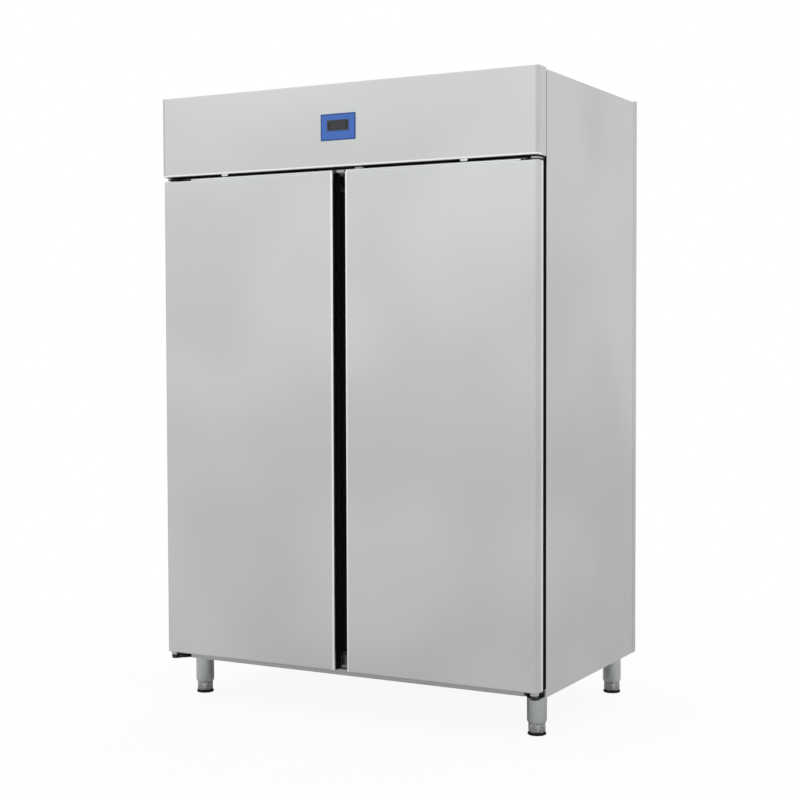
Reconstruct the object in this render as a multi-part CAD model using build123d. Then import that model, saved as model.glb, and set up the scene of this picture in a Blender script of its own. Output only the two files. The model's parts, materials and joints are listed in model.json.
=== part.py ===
from build123d import *
import math
import os

# Overall envelope, millimetres: X across the front, Y from front to back, Z up from the floor
WIDTH = 1400.0
DEPTH = 870.0
HEIGHT = 2070.0

# Main divisions of the envelope
GROUND_CLEARANCE = 137.0
HEADER_HEIGHT = 268.0
FRONT_PROJECTION = 66.0
CONTROL_PROUD = 2.5
WALL = 75.0

# Facets of round parts that repeat or hide inside the machine
SMALL_FACETS = 12
LARGE_FACETS = 16
PAD_FACETS = 24
SHELL_STEPS = 5
PRESSED_STEPS = 3

# Sheet metal
SHEET = 1.0
LINER_SHEET = 0.8
BEND = 2.0
LINER_COVE = 12.0
JAMB_WIDTH = 63.0
JAMB_RETURN = 12.0
BACK_RETURN = 34.0
PANEL_SEAM = 1.2
SIDE_TOP_DROP = 5.0
SILL_LIP_DEPTH = 18.0
SILL_LIP_HEIGHT = 20.0
SILL_LIP_END_GAP = 4.0
CORNER_NOTCH = 8.0

# Machine bay opening in the back and its louvred plate
GRILLE_SIDE_MARGIN = 90.0
GRILLE_EDGE_MARGIN = 30.0
GRILLE_LAP = 14.0
LOUVRE_HEIGHT = 9.0
LOUVRE_PITCH = 24.0
LOUVRE_COUNT = 7
LOUVRE_END_MARGIN = 14.7
LOUVRE_MIDDLE_GAP = 110.0
INLET_WIDTH = 124.0
INLET_SHEET = 3.0
INLET_GAP = 0.3

# Post between the two door openings
MULLION_WIDTH = 140.0
MULLION_DEPTH = 55.0
MULLION_COVER = 2.0

# Doors
HAND_GAP = 47.0
DOOR_SIDE_INSET = 4.0
DOOR_TOP_GAP = 15.0
DOOR_BOTTOM_GAP = 23.5
DOOR_PAN_DEPTH = 48.0
DOOR_EDGE_RADIUS = 4.0
DOOR_LIP = 9.0
GRIP_POCKET = 24.0
GRIP_WALL = 2.0
GRIP_BEND = 6.0
LINER_RIM_INSET = 2.0
PLUG_INSET = 62.0
PLUG_DEPTH = 12.0
PLUG_CORNER = 24.0
PLUG_TAPER = 25.0
GASKET_INSET = 18.0
GASKET_WIDTH = 20.0
GASKET_NECK = 11.0
GASKET_BASE = 4.0
GASKET_HEAD = 6.0
GASKET_GAP = 0.4

# Door hinges
PIN_INSET = 16.0
PIN_SETBACK = 22.0
PIN_RADIUS = 5.0
PIN_RUNNING_FIT = 0.08
PIN_ENGAGEMENT = 24.0
BUSH_HALF = 9.0
BUSH_FLANGE_HALF = 12.0
BUSH_FLANGE = 2.0
BUSH_LENGTH = 30.0
BUSH_SEAT_FIT = 0.1
BRACKET_PLATE = 4.0
BRACKET_NOSE = 13.0
BRACKET_REACH = 44.0
BRACKET_FLANGE = 22.0
BRACKET_DROP = 5.0
COLLAR_HALF = 10.0
COLLAR_GAP = 0.3

# Header panel and its hinges
HEADER_GAP = 4.0
HEADER_EDGE_RADIUS = 3.0
HEADER_HINGE_DROP = 4.0
HEADER_HINGE_SETOUT = 5.5
KNUCKLE_RADIUS = 2.8
HINGE_WIRE_RADIUS = 1.5
HINGE_WIRE_FIT = 0.1
KNUCKLE_LENGTH = 20.0
KNUCKLE_GAP = 0.5
LEAF_SHEET = 2.0
LEAF_HEIGHT = 45.0
LEAF_CENTRE_INSET = 32.0
TAB_SIDE_INSET = 252.0
TAB_WIDTH = 26.0
TAB_DROP = 7.0

# Controller on the header
FASCIA_WIDTH = 130.0
FASCIA_HEIGHT = 86.0
FASCIA_DROP = 140.0
FASCIA_CORNER = 3.0
FASCIA_SHEET = 1.2
DISPLAY_WIDTH = 80.0
DISPLAY_HEIGHT = 34.0
DISPLAY_RISE = 5.0
DISPLAY_CORNER = 3.0
BEZEL_RIM = 5.0
WINDOW_SHEET = 0.7
CASE_WIDTH = 71.0
CASE_HEIGHT = 29.0
CASE_DEPTH = 55.0
CASE_FIT = 0.3

# Levelling legs
LEG_SIDE_INSET = 62.0
LEG_END_INSET = 70.0
LEG_RADIUS = 31.5
LEG_FOOT_LINE = 37.0
LEG_FLANGE = 100.0
LEG_FLANGE_SHEET = 4.0
FOOT_RADIUS = 30.0
FOOT_GAP = 0.4
FOOT_STEM_RADIUS = 8.0
FOOT_STEM_FIT = 0.3
FOOT_STEM_LENGTH = 76.0
PAD_HEIGHT = 8.0
PAD_RADIUS = 29.5
PAD_CHAMFER = 2.0

# Shelving
UPRIGHT_WIDTH = 25.0
UPRIGHT_DEPTH = 18.0
UPRIGHT_SHEET = 1.5
POST_WIDTH = 30.0
UPRIGHT_LIFT = 60.0
UPRIGHT_LENGTH = 1230.0
SLOT_PITCH = 300.0
SLOT_HEIGHT = 20.0
SLOT_WIDTH = 7.0
RUNNER_LEG = 45.0
RUNNER_UPSTAND = 30.0
RUNNER_SHEET = 1.5
RUNNER_END_GAP = 10.75
SHELF_COUNT = 3
SHELF_SIDE_GAP = 31.0
SHELF_END_GAP = 1.0
SHELF_FIRST = 205.0
SHELF_PITCH = 370.0
SHELF_THICKNESS = 7.0
SHELF_FRAME_BAR = 8.0
SHELF_CORNER = 14.0
SHELF_WIRE = 5.0
SHELF_WIRE_COUNT = 8

# Evaporator unit under the ceiling
COVER_SIDE_GAP = 105.0
COVER_HEIGHT = 165.0
COVER_FRONT_SETBACK = 240.0
COVER_BACK_GAP = 20.0
COVER_CHAMFER = 16.0
COOLER_FAN_RADIUS = 58.0
COOLER_HUB_RADIUS = 17.0
COOLER_FAN_DEPTH = 22.0
COOLER_FAN_SETBACK = 12.0
COOLER_HOLE_RADIUS = 64.0
COOLER_MOTOR_RADIUS = 30.0
COOLER_MOTOR_LENGTH = 55.0
COOLER_MOTOR_GAP = 4.0
COOLER_STRAP = 24.0
GUARD_BAR = 3.0
GUARD_BAR_COUNT = 3
GUARD_SHEET = 2.0
GUARD_LAP = 10.0
COIL_SIDE_GAP = 50.0
COIL_DEPTH = 210.0
COIL_HEIGHT = 110.0
COIL_BACK_GAP = 30.0
COIL_END_PLATE = 3.0
COIL_FIN_PITCH = 150.0
COIL_FIN_GROOVE = 132.0
COIL_FIN_DEPTH = 30.0

# Condensing unit in the machine bay
TRAY_WIDTH = 660.0
TRAY_BACK_GAP = 101.5
TRAY_FRONT_SETBACK = 60.0
TRAY_LIP = 16.0
TRAY_CENTRE_X = -90.0
CONDENSER_WIDTH = 380.0
CONDENSER_HEIGHT = 200.0
CONDENSER_DEPTH = 84.0
CONDENSER_SETBACK = 30.0
CONDENSER_CENTRE_X = -140.0
CONDENSER_FIN_PITCH = 30.0
CONDENSER_FIN_GROOVE = 26.0
CONDENSER_CORE = 24.0
CONDENSER_END_PLATE = 2.0
CONDENSER_LOOP_COUNT = 3
TUBE_RADIUS = 5.0
TUBE_FACETS = 6
BEND_STEPS = 4
SHROUD_DEPTH = 54.0
SHROUD_SHEET = 1.2
SHROUD_HOLE_RADIUS = 92.0
CONDENSER_FAN_RADIUS = 87.0
CONDENSER_HUB_RADIUS = 26.0
CONDENSER_FAN_DEPTH = 36.0
CONDENSER_MOTOR_RADIUS = 42.0
CONDENSER_MOTOR_LENGTH = 70.0
CONDENSER_MOTOR_GAP = 5.0
MOTOR_STRAP = 40.0
STAND_PLATE = 3.0
SHAFT_RADIUS = 4.0
SHAFT_FIT = 0.08
SHAFT_END_GAP = 1.0
FAN_BLADE_COUNT = 4
FAN_BLADE_SHEET = 1.8
FAN_BLADE_SPREAD = 56.0
FAN_PITCH = 28.0
COMPRESSOR_WIDTH = 220.0
COMPRESSOR_DEPTH = 156.0
COMPRESSOR_HEIGHT = 176.0
COMPRESSOR_CORNER = 75.0
COMPRESSOR_CROWN = 28.0
COMPRESSOR_CROWN_EASE = 9.0
COMPRESSOR_SEAM = 5.0
COMPRESSOR_SEAM_RISE = 97.0
COMPRESSOR_PLATE = 3.0
COMPRESSOR_CENTRE_X = -140.0
COMPRESSOR_SETBACK = 300.0
TERMINAL_PROUD = 20.0
TERMINAL_WIDTH = 78.0
TERMINAL_RISE = 35.0
TERMINAL_HEIGHT = 53.0
MOUNT_RADIUS = 13.0
MOUNT_HEIGHT = 20.0
DRIER_RADIUS = 15.0
DRIER_LENGTH = 120.0
DRIER_CENTRE_X = 120.0
ELECTRIC_WIDTH = 220.0
ELECTRIC_DEPTH = 150.0
ELECTRIC_HEIGHT = 90.0
ELECTRIC_LID = 22.0
ELECTRIC_LID_LAP = 2.0
ELECTRIC_SIDE_INSET = 260.0
ELECTRIC_SETBACK = 140.0
GLAND_RADIUS = 11.0
GLAND_NUT_RADIUS = 16.0
GLAND_LENGTH = 22.0
GLAND_DROP = 225.0

# Positions that follow from the sizes above
HALF_WIDTH = WIDTH / 2
FRONT_Y = -DEPTH / 2 + CONTROL_PROUD
FACE_Y = FRONT_Y + FRONT_PROJECTION
BACK_Y = DEPTH / 2
BASE_Z = GROUND_CLEARANCE
DECK_Z = HEIGHT - HEADER_HEIGHT
CAVITY_HALF = HALF_WIDTH - WALL
CAVITY_BACK_Y = BACK_Y - WALL
FLOOR_Z = BASE_Z + WALL
CEILING_Z = DECK_Z - WALL
JAMB_INNER = HALF_WIDTH - JAMB_WIDTH
SILL_TOP_Z = BASE_Z + JAMB_WIDTH
RAIL_BOTTOM_Z = DECK_Z - JAMB_WIDTH
FOAM_FRONT_Y = FACE_Y + JAMB_RETURN + SHEET
MULLION_BACK_Y = FACE_Y + MULLION_DEPTH

DOOR_FREE_X = HAND_GAP / 2
DOOR_OUTER_X = HALF_WIDTH - DOOR_SIDE_INSET
DOOR_BOTTOM_Z = BASE_Z + DOOR_BOTTOM_GAP
DOOR_TOP_Z = DECK_Z - DOOR_TOP_GAP
DOOR_REAR_Y = FRONT_Y + DOOR_PAN_DEPTH
DOOR_RIM_Y = DOOR_REAR_Y + LINER_SHEET
GRIP_WEB_X = DOOR_FREE_X + GRIP_POCKET
PIN_X = DOOR_OUTER_X - PIN_INSET
PIN_Y = FRONT_Y + PIN_SETBACK

HEADER_REAR_Y = FACE_Y - HEADER_GAP
HEADER_AXIS_Y = FACE_Y - HEADER_HINGE_SETOUT
HEADER_AXIS_Z = HEIGHT - HEADER_HINGE_DROP
LEAF_CENTRE_X = HALF_WIDTH - LEAF_CENTRE_INSET
TAB_X = HALF_WIDTH - TAB_SIDE_INSET
FASCIA_Z = HEIGHT - FASCIA_DROP
DISPLAY_Z = FASCIA_Z + DISPLAY_RISE

UPRIGHT_BOTTOM_Z = FLOOR_Z + UPRIGHT_LIFT
SIDE_UPRIGHT_X = CAVITY_HALF - UPRIGHT_DEPTH
FRONT_UPRIGHT_Y = MULLION_BACK_Y
REAR_UPRIGHT_Y = CAVITY_BACK_Y - UPRIGHT_WIDTH
BAY_CENTRE_X = (POST_WIDTH / 2 + SIDE_UPRIGHT_X) / 2
BAY_CENTRE_Y = (FRONT_UPRIGHT_Y + CAVITY_BACK_Y) / 2
RUNNER_LENGTH = CAVITY_BACK_Y - FRONT_UPRIGHT_Y - 2 * RUNNER_END_GAP
SHELF_WIDTH = SIDE_UPRIGHT_X - POST_WIDTH / 2 - 2 * SHELF_SIDE_GAP
SHELF_DEPTH = RUNNER_LENGTH - 2 * SHELF_END_GAP

COVER_HALF_WIDTH = CAVITY_HALF - COVER_SIDE_GAP
COIL_HALF_WIDTH = COVER_HALF_WIDTH - COIL_SIDE_GAP
COVER_FRONT_Y = FACE_Y + COVER_FRONT_SETBACK
COVER_BACK_Y = CAVITY_BACK_Y - COVER_BACK_GAP
COVER_BOTTOM_Z = CEILING_Z - COVER_HEIGHT
COOLER_FAN_OFFSET = COVER_HALF_WIDTH / 2
COOLER_FAN_Z = (CEILING_Z + COVER_BOTTOM_Z) / 2
COOLER_FAN_Y = COVER_FRONT_Y + COOLER_FAN_SETBACK
COOLER_MOTOR_Y = COOLER_FAN_Y + COOLER_FAN_DEPTH + COOLER_MOTOR_GAP

TRAY_FRONT_Y = FACE_Y + TRAY_FRONT_SETBACK
TRAY_DEPTH = BACK_Y - TRAY_FRONT_Y - TRAY_BACK_GAP
TRAY_TOP_Z = DECK_Z + SHEET
CONDENSER_FRONT_Y = TRAY_FRONT_Y + CONDENSER_SETBACK
CONDENSER_BACK_Y = CONDENSER_FRONT_Y + CONDENSER_DEPTH
CONDENSER_MID_Z = TRAY_TOP_Z + CONDENSER_HEIGHT / 2
CONDENSER_RIGHT_X = CONDENSER_CENTRE_X + CONDENSER_WIDTH / 2
SHROUD_BACK_Y = CONDENSER_BACK_Y + SHROUD_DEPTH
CONDENSER_MOTOR_Y = SHROUD_BACK_Y + CONDENSER_MOTOR_GAP
COMPRESSOR_Y = CONDENSER_FRONT_Y + COMPRESSOR_SETBACK + COMPRESSOR_DEPTH / 2
COMPRESSOR_FOOT_Z = TRAY_TOP_Z + MOUNT_HEIGHT
COMPRESSOR_BODY_Z = COMPRESSOR_FOOT_Z + COMPRESSOR_PLATE
ELECTRIC_CENTRE_X = HALF_WIDTH - ELECTRIC_SIDE_INSET
CLOSURE_HALF = HALF_WIDTH - GRILLE_SIDE_MARGIN + GRILLE_LAP
CLOSURE_BOTTOM_Z = DECK_Z + GRILLE_EDGE_MARGIN - GRILLE_LAP
CLOSURE_TOP_Z = HEIGHT - GRILLE_EDGE_MARGIN + GRILLE_LAP
CLOSURE_REAR_Y = BACK_Y - SHEET
GLAND_X = CLOSURE_HALF - INLET_WIDTH / 2
GRILLE_RIGHT_X = CLOSURE_HALF - INLET_WIDTH - INLET_GAP
LOUVRE_LENGTH = GRILLE_RIGHT_X - LOUVRE_END_MARGIN - LOUVRE_MIDDLE_GAP / 2
LOUVRE_OFFSET = (LOUVRE_LENGTH + LOUVRE_MIDDLE_GAP) / 2

AXIS_Y_DIR = (0, 1, 0)


def block(x0, x1, y0, y1, z0, z1):
    """Box between two opposite corners."""
    centre = Pos((x0 + x1) / 2, (y0 + y1) / 2, (z0 + z1) / 2)
    return centre * Box(x1 - x0, y1 - y0, z1 - z0)


def rod(start, end, radius):
    """Cylinder between two points."""
    run = Vector(*end) - Vector(*start)
    place = Plane(origin=start, z_dir=run.normalized())
    upright = (Align.CENTER, Align.CENTER, Align.MIN)
    return place * Cylinder(radius, run.length, align=upright)


def post(x, y, z0, z1, radius):
    """Vertical cylinder."""
    return rod((x, y, z0), (x, y, z1), radius)


def prism(start, end, radius, sides, across_flats=False):
    """Regular prism between two points; the radius is to its corners or, if asked, to its flats."""
    run = (Vector(*end) - Vector(*start)).normalized()
    length = (Vector(*end) - Vector(*start)).length
    face = Plane(origin=start, z_dir=run) * RegularPolygon(radius, sides, major_radius=not across_flats)
    return extrude(face, amount=length, dir=run)


def arc_points(radius, start, end, steps):
    """Points at equal steps along an arc about the origin, angles in degrees."""
    angles = [math.radians(start + (end - start) * index / steps) for index in range(steps + 1)]
    return [(radius * math.cos(angle), radius * math.sin(angle)) for angle in angles]


def eased_rectangle(width, height, corner, steps):
    """Rectangle about the origin whose corners are turned in short flats."""
    points = []
    for turn, (across, along) in enumerate(((1, 1), (-1, 1), (-1, -1), (1, -1))):
        centre_x = across * (width / 2 - corner)
        centre_y = along * (height / 2 - corner)
        for x, y in arc_points(corner, 90 * turn, 90 * turn + 90, steps):
            points.append((centre_x + x, centre_y + y))
    return make_face(Polyline(*points, close=True))


def left_normal(start, end):
    """Unit normal on the left of a segment."""
    dx = end[0] - start[0]
    dy = end[1] - start[1]
    length = math.hypot(dx, dy)
    return (-dy / length, dx / length)


def offset_chain(points, distance):
    """Mitred offset of an open chain of points, to the left for a positive distance."""
    normals = [left_normal(a, b) for a, b in zip(points, points[1:])]
    last = len(normals) - 1
    shifted = []
    for index, (x, y) in enumerate(points):
        before = normals[max(index - 1, 0)]
        after = normals[min(index, last)]
        reach = distance / (1 + before[0] * after[0] + before[1] * after[1])
        shifted.append((x + reach * (before[0] + after[0]), y + reach * (before[1] + after[1])))
    return shifted


def sheet_profile(points, thickness, bend):
    """Cross-section of a sheet folded along a chain of points; a bend of zero is a sharp fold."""
    left = offset_chain(points, thickness / 2)
    right = offset_chain(points, -thickness / 2)
    left_radii = [0.0]
    right_radii = [0.0]
    for a, b, c in zip(points, points[1:], points[2:]):
        cross = (b[0] - a[0]) * (c[1] - b[1]) - (b[1] - a[1]) * (c[0] - b[0])
        inward = math.copysign(thickness / 2, cross)
        left_radii.append(bend - inward if bend else 0.0)
        right_radii.append(bend + inward if bend else 0.0)
    left_radii.append(0.0)
    right_radii.append(0.0)
    outline = left + right[::-1]
    radii = left_radii + right_radii[::-1]
    return make_face(FilletPolyline(*outline, radius=radii, close=True))


def folded_upright(points, thickness, bend, z0, z1):
    """Folded sheet whose bends run vertically; points are in X and Y."""
    face = sheet_profile(points, thickness, bend)
    return Pos(0, 0, z0) * extrude(face, amount=z1 - z0, dir=(0, 0, 1))


def folded_across(points, thickness, bend, x0, x1):
    """Folded sheet whose bends run across the front; points are in Y and Z."""
    face = Plane.YZ * sheet_profile(points, thickness, bend)
    return Pos(x0, 0, 0) * extrude(face, amount=x1 - x0, dir=(1, 0, 0))


def folded_along(points, thickness, bend, y0, y1):
    """Folded sheet whose bends run from front to back; points are in X and Z."""
    face = Plane.XZ * sheet_profile(points, thickness, bend)
    return Pos(0, y0, 0) * extrude(face, amount=y1 - y0, dir=AXIS_Y_DIR)


def mirrored(shape):
    """Copy on the other side of the middle of the freezer."""
    return mirror(shape, about=Plane.YZ)


def rear_plane(x, y, z):
    """Sketch plane at a point that faces the back."""
    return Plane(origin=(x, y, z), x_dir=(1, 0, 0), z_dir=AXIS_Y_DIR)


def tube_along(points, radius, bend):
    """Round tube along a chain of points with tangent bends."""
    path = FilletPolyline(*points, radius=bend)
    start = Plane(origin=path @ 0, z_dir=path % 0)
    return sweep(start * RegularPolygon(radius, TUBE_FACETS), path=path)


def right_side_panel():
    """Side sheet with the front jamb folded in and a short return into the foam."""
    middle = SHEET / 2
    points = [
        (JAMB_INNER + middle, FACE_Y + JAMB_RETURN),
        (JAMB_INNER + middle, FACE_Y + middle),
        (HALF_WIDTH - middle, FACE_Y + middle),
        (HALF_WIDTH - middle, BACK_Y - BACK_RETURN - PANEL_SEAM),
    ]
    return folded_upright(points, SHEET, BEND, BASE_Z, HEIGHT - SIDE_TOP_DROP)


def back_panel():
    """Back sheet whose returns wrap the rear corners, open behind the machine bay."""
    middle = SHEET / 2
    points = [
        (HALF_WIDTH - middle, BACK_Y - BACK_RETURN),
        (HALF_WIDTH - middle, BACK_Y - middle),
        (-HALF_WIDTH + middle, BACK_Y - middle),
        (-HALF_WIDTH + middle, BACK_Y - BACK_RETURN),
    ]
    panel = folded_upright(points, SHEET, BEND, BASE_Z, HEIGHT)
    half = HALF_WIDTH - GRILLE_SIDE_MARGIN
    bottom = DECK_Z + GRILLE_EDGE_MARGIN
    top = HEIGHT - GRILLE_EDGE_MARGIN
    return panel - block(-half, half, BACK_Y - 2 * SHEET, BACK_Y + SHEET, bottom, top)


def rear_grille():
    """Slotted plate that closes most of the machine bay from inside the back panel."""
    front = CLOSURE_REAR_Y - SHEET
    plate = block(-CLOSURE_HALF, GRILLE_RIGHT_X, front, CLOSURE_REAR_Y, CLOSURE_BOTTOM_Z, CLOSURE_TOP_Z)
    middle = (CLOSURE_BOTTOM_Z + CLOSURE_TOP_Z) / 2
    slot = extrude(Rectangle(LOUVRE_LENGTH, LOUVRE_HEIGHT), amount=2 * SHEET, both=True)
    cuts = []
    for side in (-1, 1):
        for row in range(LOUVRE_COUNT):
            rise = (row - (LOUVRE_COUNT - 1) / 2) * LOUVRE_PITCH
            cuts.append(rear_plane(side * LOUVRE_OFFSET, CLOSURE_REAR_Y, middle + rise) * slot)
    return plate - cuts


def cable_gland():
    """Moulded inlet plate beside the grille, with the supply gland and its shoulder."""
    left = CLOSURE_HALF - INLET_WIDTH
    front = CLOSURE_REAR_Y - INLET_SHEET
    plate = block(left, CLOSURE_HALF, front, CLOSURE_REAR_Y, CLOSURE_BOTTOM_Z, CLOSURE_TOP_Z)
    gland_z = HEIGHT - GLAND_DROP
    inner_y = front - GLAND_LENGTH
    face = rear_plane(GLAND_X, front, gland_z) * RegularPolygon(GLAND_NUT_RADIUS, 6)
    shoulder = extrude(face, amount=GLAND_LENGTH / 3, dir=(0, -1, 0))
    body = prism((GLAND_X, inner_y, gland_z), (GLAND_X, front, gland_z), GLAND_RADIUS, SMALL_FACETS)
    bore = rod((GLAND_X, inner_y - SHEET, gland_z), (GLAND_X, BACK_Y, gland_z), GLAND_RADIUS / 2)
    return plate + shoulder + body - bore


def base_panel():
    """Underside sheet with the front sill folded up and a lip under the doors."""
    middle = SHEET / 2
    points = [
        (FACE_Y + JAMB_RETURN, SILL_TOP_Z - middle),
        (FACE_Y + middle, SILL_TOP_Z - middle),
        (FACE_Y + middle, BASE_Z + middle),
        (BACK_Y - SHEET, BASE_Z + middle),
    ]
    centre = folded_across(points, SHEET, 0.0, -JAMB_INNER, JAMB_INNER)
    limit = HALF_WIDTH - SHEET
    wing = block(-limit, limit, FOAM_FRONT_Y, BACK_Y - CORNER_NOTCH, BASE_Z, BASE_Z + SHEET)
    lip_half = JAMB_INNER - SILL_LIP_END_GAP
    lip_y = FACE_Y - SILL_LIP_DEPTH
    lip = block(-lip_half, lip_half, lip_y, FACE_Y + SHEET, BASE_Z, BASE_Z + SHEET)
    lip += block(-lip_half, lip_half, lip_y, lip_y + SHEET, BASE_Z, BASE_Z + SILL_LIP_HEIGHT)
    return centre + wing + lip


def deck_panel():
    """Top sheet of the insulated box with the front rail folded down."""
    middle = SHEET / 2
    points = [
        (BACK_Y - 2 * SHEET, DECK_Z - middle),
        (FACE_Y + middle, DECK_Z - middle),
        (FACE_Y + middle, RAIL_BOTTOM_Z + middle),
        (FACE_Y + JAMB_RETURN, RAIL_BOTTOM_Z + middle),
    ]
    centre = folded_across(points, SHEET, 0.0, -JAMB_INNER, JAMB_INNER)
    limit = HALF_WIDTH - SHEET
    wing = block(-limit, limit, FOAM_FRONT_Y, BACK_Y - CORNER_NOTCH, DECK_Z - SHEET, DECK_Z)
    return centre + wing


def cabinet_insulation():
    """Foam walls: two sides, back, floor and ceiling."""
    outer = HALF_WIDTH - SHEET
    inner = CAVITY_HALF + LINER_SHEET
    bottom = BASE_Z + SHEET
    top = DECK_Z - SHEET
    rear = BACK_Y - SHEET
    liner_rear = CAVITY_BACK_Y + LINER_SHEET
    right = block(inner, outer, FOAM_FRONT_Y, rear - BEND, bottom, top)
    back = block(-inner, inner, liner_rear, rear, bottom, top)
    floor = block(-inner, inner, FOAM_FRONT_Y, liner_rear, bottom, FLOOR_Z - LINER_SHEET)
    ceiling = block(-inner, inner, FOAM_FRONT_Y, liner_rear, CEILING_Z + LINER_SHEET, top)
    return [right, mirrored(right), back, floor, ceiling]


def inner_liner():
    """Seamless inner box, open at the front, with coved floor and ceiling corners."""
    skin = LINER_SHEET
    half = CAVITY_HALF
    outer = block(
        -half - skin, half + skin, FOAM_FRONT_Y, CAVITY_BACK_Y + skin, FLOOR_Z - skin, CEILING_Z + skin
    )
    cavity = block(-half, half, FOAM_FRONT_Y, CAVITY_BACK_Y, FLOOR_Z, CEILING_Z)
    shell = fillet(outer.edges().filter_by(Axis.Y), LINER_COVE + skin)
    return shell - fillet(cavity.edges().filter_by(Axis.Y), LINER_COVE)


def frame_strip(corners):
    """Mitred length of the thermal break; corners are in X and Z."""
    face = Plane.XZ * make_face(Polyline(*corners, close=True))
    return Pos(0, FACE_Y, 0) * extrude(face, amount=FOAM_FRONT_Y - FACE_Y, dir=AXIS_Y_DIR)


def thermal_break():
    """Plastic frame between the outer sheets and the liner, in four mitred lengths."""
    outer = [
        (-JAMB_INNER, SILL_TOP_Z),
        (JAMB_INNER, SILL_TOP_Z),
        (JAMB_INNER, RAIL_BOTTOM_Z),
        (-JAMB_INNER, RAIL_BOTTOM_Z),
    ]
    inner = [
        (-CAVITY_HALF, FLOOR_Z),
        (CAVITY_HALF, FLOOR_Z),
        (CAVITY_HALF, CEILING_Z),
        (-CAVITY_HALF, CEILING_Z),
    ]
    strips = []
    for index in range(4):
        following = (index + 1) % 4
        strips.append(frame_strip([outer[index], outer[following], inner[following], inner[index]]))
    return strips


def mullion_cover():
    """Black channel over the post between the doors."""
    half = (MULLION_WIDTH - MULLION_COVER) / 2
    front = FACE_Y + MULLION_COVER / 2
    points = [(half, MULLION_BACK_Y), (half, front), (-half, front), (-half, MULLION_BACK_Y)]
    return folded_upright(points, MULLION_COVER, 0.0, FLOOR_Z, CEILING_Z)


def mullion_post():
    """Insulated steel post inside its cover."""
    half = MULLION_WIDTH / 2 - MULLION_COVER
    return block(-half, half, FACE_Y + MULLION_COVER, MULLION_BACK_Y, FLOOR_Z, CEILING_Z)


def door_blank(inset, rear):
    """Right door envelope drawn in by an inset."""
    return block(
        DOOR_FREE_X + inset,
        DOOR_OUTER_X - inset,
        FRONT_Y + inset,
        rear,
        DOOR_BOTTOM_Z + inset,
        DOOR_TOP_Z - inset,
    )


def door_hollow(rear):
    """Space inside the outer pan of the right door."""
    space = door_blank(SHEET, rear)
    return chamfer(space.edges().group_by(Axis.Y)[0], DOOR_EDGE_RADIUS - SHEET)


def square_post(z0, z1, half):
    """Square prism about the right hinge axis."""
    return block(PIN_X - half, PIN_X + half, PIN_Y - half, PIN_Y + half, z0, z1)


def bush_cuts():
    """Clear pockets for the square hinge bushes of the right door."""
    half = BUSH_HALF + BUSH_SEAT_FIT
    top = square_post(DOOR_TOP_Z - BUSH_LENGTH, DOOR_TOP_Z + SHEET, half)
    bottom = square_post(DOOR_BOTTOM_Z - SHEET, DOOR_BOTTOM_Z + BUSH_LENGTH, half)
    return [top, bottom]


def door_skin():
    """Outer pan of the right door, with a short finger lip on the free edge."""
    outer = door_blank(0, DOOR_REAR_Y)
    outer = fillet(outer.edges().group_by(Axis.Y)[0], DOOR_EDGE_RADIUS)
    inner = door_hollow(DOOR_REAR_Y + SHEET)
    mouth = block(
        DOOR_FREE_X - SHEET,
        DOOR_FREE_X + 2 * SHEET,
        FRONT_Y + DOOR_LIP,
        DOOR_REAR_Y + SHEET,
        DOOR_BOTTOM_Z + SHEET,
        DOOR_TOP_Z - SHEET,
    )
    return outer - inner - mouth - bush_cuts()


def plug_size(inset):
    """Width and height of the raised field of the door liner."""
    width = DOOR_OUTER_X - DOOR_FREE_X - 2 * inset
    height = DOOR_TOP_Z - DOOR_BOTTOM_Z - 2 * inset
    return width, height


def door_plug(shrink, start_y):
    """Tapered raised field at the back of the right door, drawn in on every side."""
    outline = eased_rectangle(*plug_size(PLUG_INSET + shrink), PLUG_CORNER - shrink, PRESSED_STEPS)
    middle_x = (DOOR_FREE_X + DOOR_OUTER_X) / 2
    middle_z = (DOOR_BOTTOM_Z + DOOR_TOP_Z) / 2
    return extrude(rear_plane(middle_x, start_y, middle_z) * outline, amount=PLUG_DEPTH, taper=PLUG_TAPER)


def door_foam():
    """Foam core of the right door, filling the pan and the raised field of the liner."""
    keep = block(
        GRIP_WEB_X + GRIP_WALL, DOOR_OUTER_X, FRONT_Y, DOOR_REAR_Y, DOOR_BOTTOM_Z, DOOR_TOP_Z
    )
    return (door_hollow(DOOR_REAR_Y) & keep) + door_plug(LINER_SHEET, DOOR_REAR_Y) - bush_cuts()


def door_liner():
    """Pressed inner sheet of the right door: flat rim and raised field."""
    rim = block(
        DOOR_FREE_X + LINER_RIM_INSET,
        DOOR_OUTER_X - LINER_RIM_INSET,
        DOOR_REAR_Y,
        DOOR_RIM_Y,
        DOOR_BOTTOM_Z + LINER_RIM_INSET,
        DOOR_TOP_Z - LINER_RIM_INSET,
    )
    return rim + door_plug(0.0, DOOR_RIM_Y) - door_plug(LINER_SHEET, DOOR_REAR_Y)


def door_grip():
    """Black finger channel along the free edge of the right door."""
    half = GRIP_WALL / 2
    front = FRONT_Y + SHEET + half
    rear = DOOR_REAR_Y - half
    web = GRIP_WEB_X + half
    points = [
        (DOOR_FREE_X + DOOR_EDGE_RADIUS + SHEET, front),
        (web, front),
        (web, rear),
        (DOOR_FREE_X + LINER_RIM_INSET, rear),
    ]
    channel = folded_upright(points, GRIP_WALL, GRIP_BEND, DOOR_BOTTOM_Z + SHEET, DOOR_TOP_Z - SHEET)
    return channel & door_hollow(DOOR_REAR_Y)


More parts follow.
